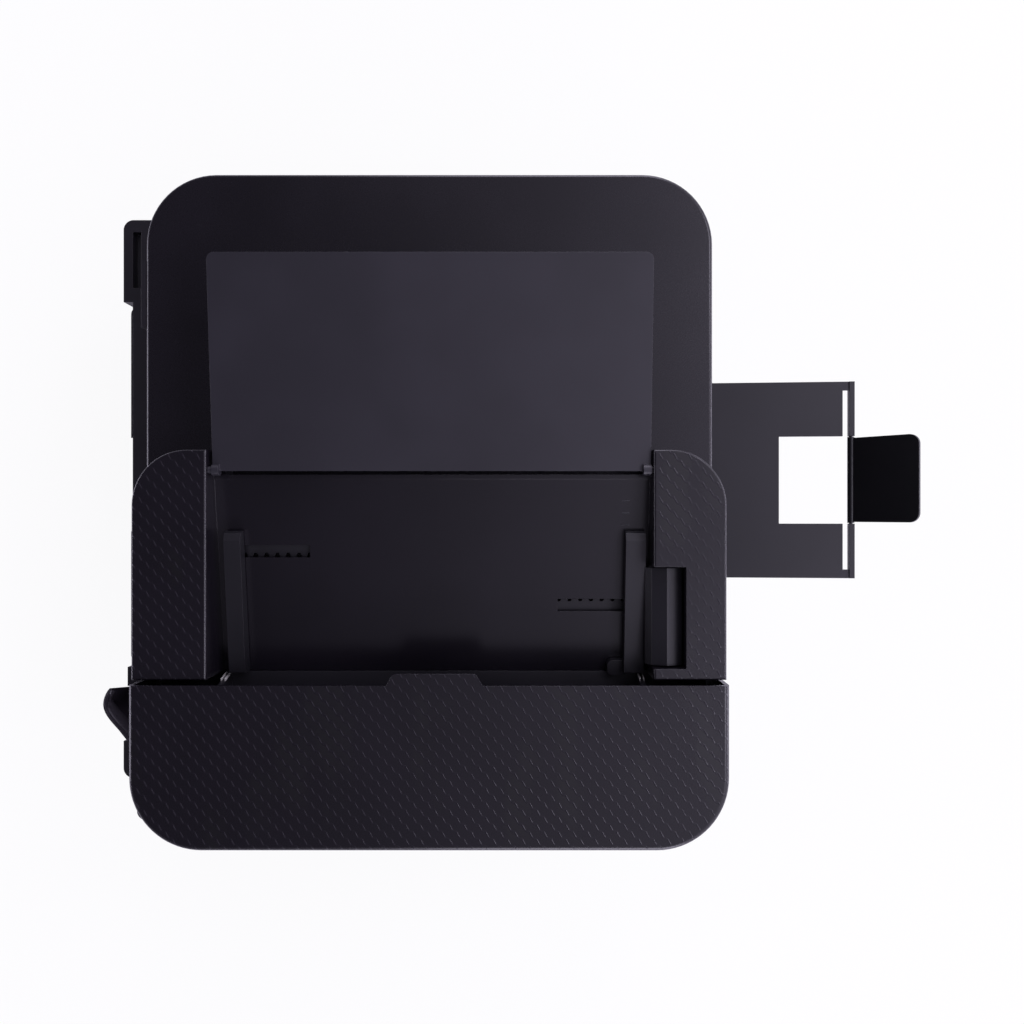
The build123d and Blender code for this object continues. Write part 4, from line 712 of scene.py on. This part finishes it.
# rubber bumpers under the lid's corners
bumper = {
    "places": ((-176, -98), (176, -98), (-176, 190), (176, 190)), "level": 238.5,
    "profile": [(4.0, 0.0), (4.0, 1.2), (3.6, 1.8), (2.6, 2.1), (0.05, 2.1)],
}
knob = lathe(bumper["profile"])
addPiece("lid_bumpers", [
    placed(knob, (x, y, bumper["level"]), (1, 0, 0), (0, 0, -1)) for x, y in bumper["places"]
], footRubber, "lid")
print("feeder and lid dressed")


# Platen: ruled marks beside the glass, every fifth one long, and the lamp bar in the carriage

platen = {
    "left": -116.6, "right": 184.6, "low": -56.3, "high": 162.3, "step": 10.0, "level": 236.0,
    "firstY": 2, "firstX": 3, "besideRight": 2.2, "besideHigh": 3.0, "longHalf": 1.3, "shortHalf": 0.7,
    "lineHalf": 0.15, "radius": 0.05, "profile": [(0, -0.05), (0, 0.03), (0.03, 0.06)],
}
longMark, shortMark = (
    slab(platen[half], platen["lineHalf"], platen["radius"], platen["profile"])
    for half in ("longHalf", "shortHalf")
)
rulings = []
for number, y in enumerate(np.arange(platen["low"] + platen["firstY"], platen["high"], platen["step"])):
    ruling = shortMark if number % 5 else longMark
    rulings.append(placed(ruling, (platen["right"] + platen["besideRight"], y, platen["level"])))
for number, x in enumerate(np.arange(platen["left"] + platen["firstX"], platen["right"], platen["step"])):
    ruling = shortMark if number % 5 else longMark
    rulings.append(placed(ruling, (x, platen["high"] + platen["besideHigh"], platen["level"]), (0, 1, 0)))
addPiece("platen_rulings", rulings, markPaint, "chassis", False)

lampBar = {
    "place": (-132.0, 53.0, 228.0), "half": (1.7, 108.0), "radius": 1.2,
    "profile": [(0.0, 0.0), (0.0, 0.6), (0.35, 1.1), (0.9, 1.35), (1.4, 1.4)],
}
bar = slab(*lampBar["half"], lampBar["radius"], lampBar["profile"])
addPiece("carriage_lamp", [placed(bar, lampBar["place"])], frostedLens, "scan_carriage")
print("platen dressed")


# Fasteners, bushes and contacts

rear = {
    "screw": (3.2, 1.9), "postY": 275.4, "wallY": 269.0, "wallScrews": ((-150, 40), (-150, 150)),
    "postScrews": ((-180.5, 30), (-180.5, 160), (156, 70), (190, 70), (156, 172)),
}
head = screwHead(*rear["screw"])
heads = [
    placed(head, (x, rear[y], z), (1, 0, 0), (0, 1, 0))
    for screws, y in (("postScrews", "postY"), ("wallScrews", "wallY")) for x, z in rear[screws]
]
addPiece("rear_screws", heads, blackScrew, "chassis")

frameScrew = {"size": (2.6, 1.6), "x": 173.0, "places": ((-96, 16), (-96, 190), (248, 16), (215, 190))}
head = screwHead(*frameScrew["size"])
frameScrews = [
    placed(head, (way * frameScrew["x"], y, z), (0, 1, 0), (way, 0, 0))
    for way in (-1, 1) for y, z in frameScrew["places"]
]
addPiece("frame_screws", frameScrews, brightScrew, "chassis")

# nylon bushes on the inner faces of both side frames, one round each shaft: (y, z, the shaft's radius)
bush = {
    "x": 170.0, "gap": 0.25, "reach": 2.6, "height": 1.4, "edge": 0.3,
    "shafts": (
        (30, 97, 4), (30, 76.7, 3), (-72, 71, 4),
        (182.0005, 129.2881, 6), (189.5005, 104.7881, 5), (174.2359, 158.2659, 3),
    ),
}
bushes = []
for way in (-1, 1):
    for y, z, radius in bush["shafts"]:
        collar = washer(radius + bush["gap"], radius + bush["reach"], bush["height"], bush["edge"])
        bushes.append(placed(collar, (way * bush["x"], y, z), (0, 1, 0), (-way, 0, 0)))
addPiece("shaft_bushes", bushes, nylon, "chassis")

# eight contacts in the network socket, and the tongue of the data socket
network = {
    "x": 182.75, "y": 260.0, "z": 100.9, "pitch": 1.25, "count": 8, "half": (0.25, 5.5), "radius": 0.1,
    "profile": [(0.0, 0.0), (0.0, 0.25), (0.1, 0.35)],
}
contact = slab(*network["half"], network["radius"], network["profile"])
wires = []
for n in range(network["count"]):
    x = network["x"] + (n - (network["count"] - 1) / 2) * network["pitch"]
    wires.append(placed(contact, (x, network["y"], network["z"]), (1, 0, 0), (0, 0, -1)))
addPiece("network_contacts", wires, goldPlate, "chassis")

tongue = {
    "place": (181.5, 254.0, 119.0), "half": (1.6, 2.6), "radius": 0.4,
    "profile": [(0.0, 0.0), (0.0, 10.0), (0.4, 10.6)],
}
shape = slab(*tongue["half"], tongue["radius"], tongue["profile"])
shape = placed(shape, tongue["place"], (1, 0, 0), (0, 1, 0))
addPiece("data_tongue", [shape], nylon, "chassis")

# inside the scoop a small rib steadies the guard
rib = {
    "place": (-142.5, 259.0, 184.0), "half": (0.6, 5.5), "radius": 0.3,
    "profile": [(0.0, 0.0), (0.0, 18.0), (0.3, 18.6)],
}
shape = placed(slab(*rib["half"], rib["radius"], rib["profile"]), rib["place"])
addPiece("scoop_rib", [shape], faintMark, "chassis")

# Scoop lip: it runs along the scoop's rim and grows wider towards the left

lip = {
    "x": (-126.4, -131.0, -138.0, -149.0, -165.2), "y": (276.0, 279.0, 280.4, 275.0, 262.5),
    "top": 206.1, "width": (2.8, 7.5), "slope": 1.1, "inset": 0.7, "span": (0.12, 3.85),
    "back": 0.6, "depth": 3.0, "backDepth": 1.0, "steps": 36, "arcSteps": 8,
}


def scoopLip():
    # the rim is the curve of the fourth degree through five points; at each of its steps stands a
    # ring, a quarter ellipse of half-axes width - inset and slope * width, drawn off the rim's normal
    knots = np.arange(5)
    courses = [np.polyfit(knots, lip[key], 4) for key in ("x", "y")]
    t = np.linspace(*lip["span"], lip["steps"])
    x, y = (np.polyval(course, t) for course in courses)
    dx, dy = (np.polyval(np.polyder(course), t) for course in courses)
    length = np.hypot(dx, dy)
    inX, inY = -dy / length, dx / length
    width = np.interp(t, lip["span"], lip["width"])[:, None]
    angle = np.linspace(0, np.pi / 2, lip["arcSteps"])
    drop = lip["slope"] * width
    arcOff = lip["inset"] + (width - lip["inset"]) * np.cos(angle)
    arcUp = lip["top"] - drop + drop * np.sin(angle)
    off = np.concatenate([lip["inset"] + 0 * width, width - lip["back"], arcOff], 1)
    lowest, back = lip["top"] - lip["depth"] + 0 * width, lip["top"] - drop - lip["backDepth"]
    up = np.concatenate([lowest, back, arcUp], 1)
    points = np.stack([x[:, None] + inX[:, None] * off, y[:, None] + inY[:, None] * off, up], -1)
    return rings(points)


# its lighter copy of the scoop's plastic is a painted highlight
addPiece("scoop_lip", [scoopLip()], lipHighlightShell, "chassis")

# finger ribs inside the grips of the door and the cassette
doorGrip = {"place": (0.0, -123.6, 134.0), "step": 1.6, "count": 2, "block": (36.0, 0.5, 0.7, 0.3, 0.1)}
x, y, z = doorGrip["place"]
strip = softBlock(*doorGrip["block"])
ribs = [placed(strip, (x, y + n * doorGrip["step"], z)) for n in range(doorGrip["count"])]
addPiece("door_grip_ribs", ribs, caseShell, "front_door")

cassetteGrip = {"place": (0.0, -119.6, 16.0), "step": 4.0, "count": 4, "block": (48.0, 0.5, 0.8, 0.3, 0.1)}
x, y, z = cassetteGrip["place"]
strip = softBlock(*cassetteGrip["block"])
ribs = [
    placed(strip, (x, y, z + n * cassetteGrip["step"]), (1, 0, 0), (0, -1, 0))
    for n in range(cassetteGrip["count"])
]
addPiece("cassette_grip_ribs", ribs, caseShell, "paper_cassette")
print("fasteners, contacts and grips added")


# Studio

studio = {
    "cameraPlace": (-6.6 * mm, 2.5 * mm, 800 * mm), "focal": 30.72, "sensor": 36.0,
    "floorHalf": 3.0, "worldTint": colour(0.92, 0.86, 1.08), "lampTint": (0.95, 0.9, 1.08),
    "skyFall": (-0.35, 0.55), "skyFront": 0.95, "skyRear": 0.06, "skyHorizon": 0.3,
    "horizonFall": (0.25, 0.8), "floorSeen": 0.9,
}
# name: (place, aimed at, width, height, watts)
lamps = {
    "softboxLeft": ((-0.4, -1.1, 1.9), (0, 0, 0.2), 0.5, 0.6, 5.0),
    "softboxRight": ((0.75, -1.1, 1.9), (0, 0, 0.2), 0.5, 0.6, 6.5),
    "leftPanel": ((-1.9, -0.3, 0.9), (0, 0, 0.2), 1.0, 1.3, 16.0),
    "rightPanel": ((1.9, -0.2, 0.9), (0, 0, 0.2), 1.0, 1.3, 16.0),
    "rearPanel": ((0.0, 1.9, 0.36), (0, 0.1, 0.15), 1.4, 0.45, 11.0),
    "frontPanel": ((0.0, -2.1, 0.36), (0, -0.1, 0.15), 1.4, 0.4, 13.0),
}

cameraData = bpy.data.cameras.new("photoCamera")
cameraData.lens, cameraData.sensor_width = studio["focal"], studio["sensor"]
cameraData.clip_start, cameraData.clip_end = 0.01, 50.0
camera = bpy.data.objects.new("photoCamera", cameraData)
camera.location = studio["cameraPlace"]
# it looks down, its right side towards the printer's front
camera.rotation_euler = (0.0, 0.0, np.radians(-90.0))
bpy.context.scene.collection.objects.link(camera)
bpy.context.scene.camera = camera

for name, (place, aim, width, height, watts) in lamps.items():
    lampData = bpy.data.lights.new(name, "AREA")
    lampData.shape, lampData.size, lampData.size_y, lampData.energy = "RECTANGLE", width, height, watts
    lampData.color = studio["lampTint"]
    lamp = bpy.data.objects.new(name, lampData)
    lamp.location = place
    lamp.rotation_euler = (Vector(aim) - Vector(place)).to_track_quat("-Z", "Y").to_euler()
    bpy.context.scene.collection.objects.link(lamp)

# the sky is bright over the front, falls off overhead towards the rear, and lifts again near the horizon
world = bpy.data.worlds.new("studioWorld")
bpy.context.scene.world = world
f = Finish("studioWorld", world)
direction = f.node("SeparateXYZ", values=[f.node("TexCoord", out="Generated")])
toRear, up = (Wire(f, direction.socket.node.outputs[n]) for n in (1, 2))
sky = (-toRear).step(*studio["skyFall"]) * studio["skyFront"] + studio["skyRear"]
sky = sky + (1.0 - up.step(*studio["horizonFall"])) * studio["skyHorizon"]
soft = f.node("Background", {}, {"Color": studio["worldTint"], "Strength": sky})
seen = f.node("Background", {}, {"Color": colour(1, 1, 1), "Strength": 1.0})
both = f.node("MixShader", {}, [f.node("LightPath", out="Is Camera Ray"), soft, seen])
f.tree.links.new(both.socket, f.output.inputs["Surface"])

f = Finish("paleFloor")
lit = f.node("BsdfDiffuse", {}, [colour(0.9, 0.9, 0.9)])
glow = f.node("Emission", {}, [colour(1, 1, 1), 1.0])
lightPath = f.node("LightPath", out="Is Camera Ray")
both = f.node("MixShader", {}, [lightPath * studio["floorSeen"], lit, glow])
f.tree.links.new(both.socket, f.output.inputs["Surface"])
half = studio["floorHalf"]
floorMesh = bpy.data.meshes.new("paleFloor")
corners = [(-half, -half, 0), (half, -half, 0), (half, half, 0), (-half, half, 0)]
floorMesh.from_pydata(corners, [], [(0, 1, 2, 3)])
floorMesh.materials.append(f.material)
floor = bpy.data.objects.new("paleFloor", floorMesh)
bpy.context.scene.collection.objects.link(floor)
bpy.context.scene.view_settings.view_transform = "Standard"
print("studio ready")
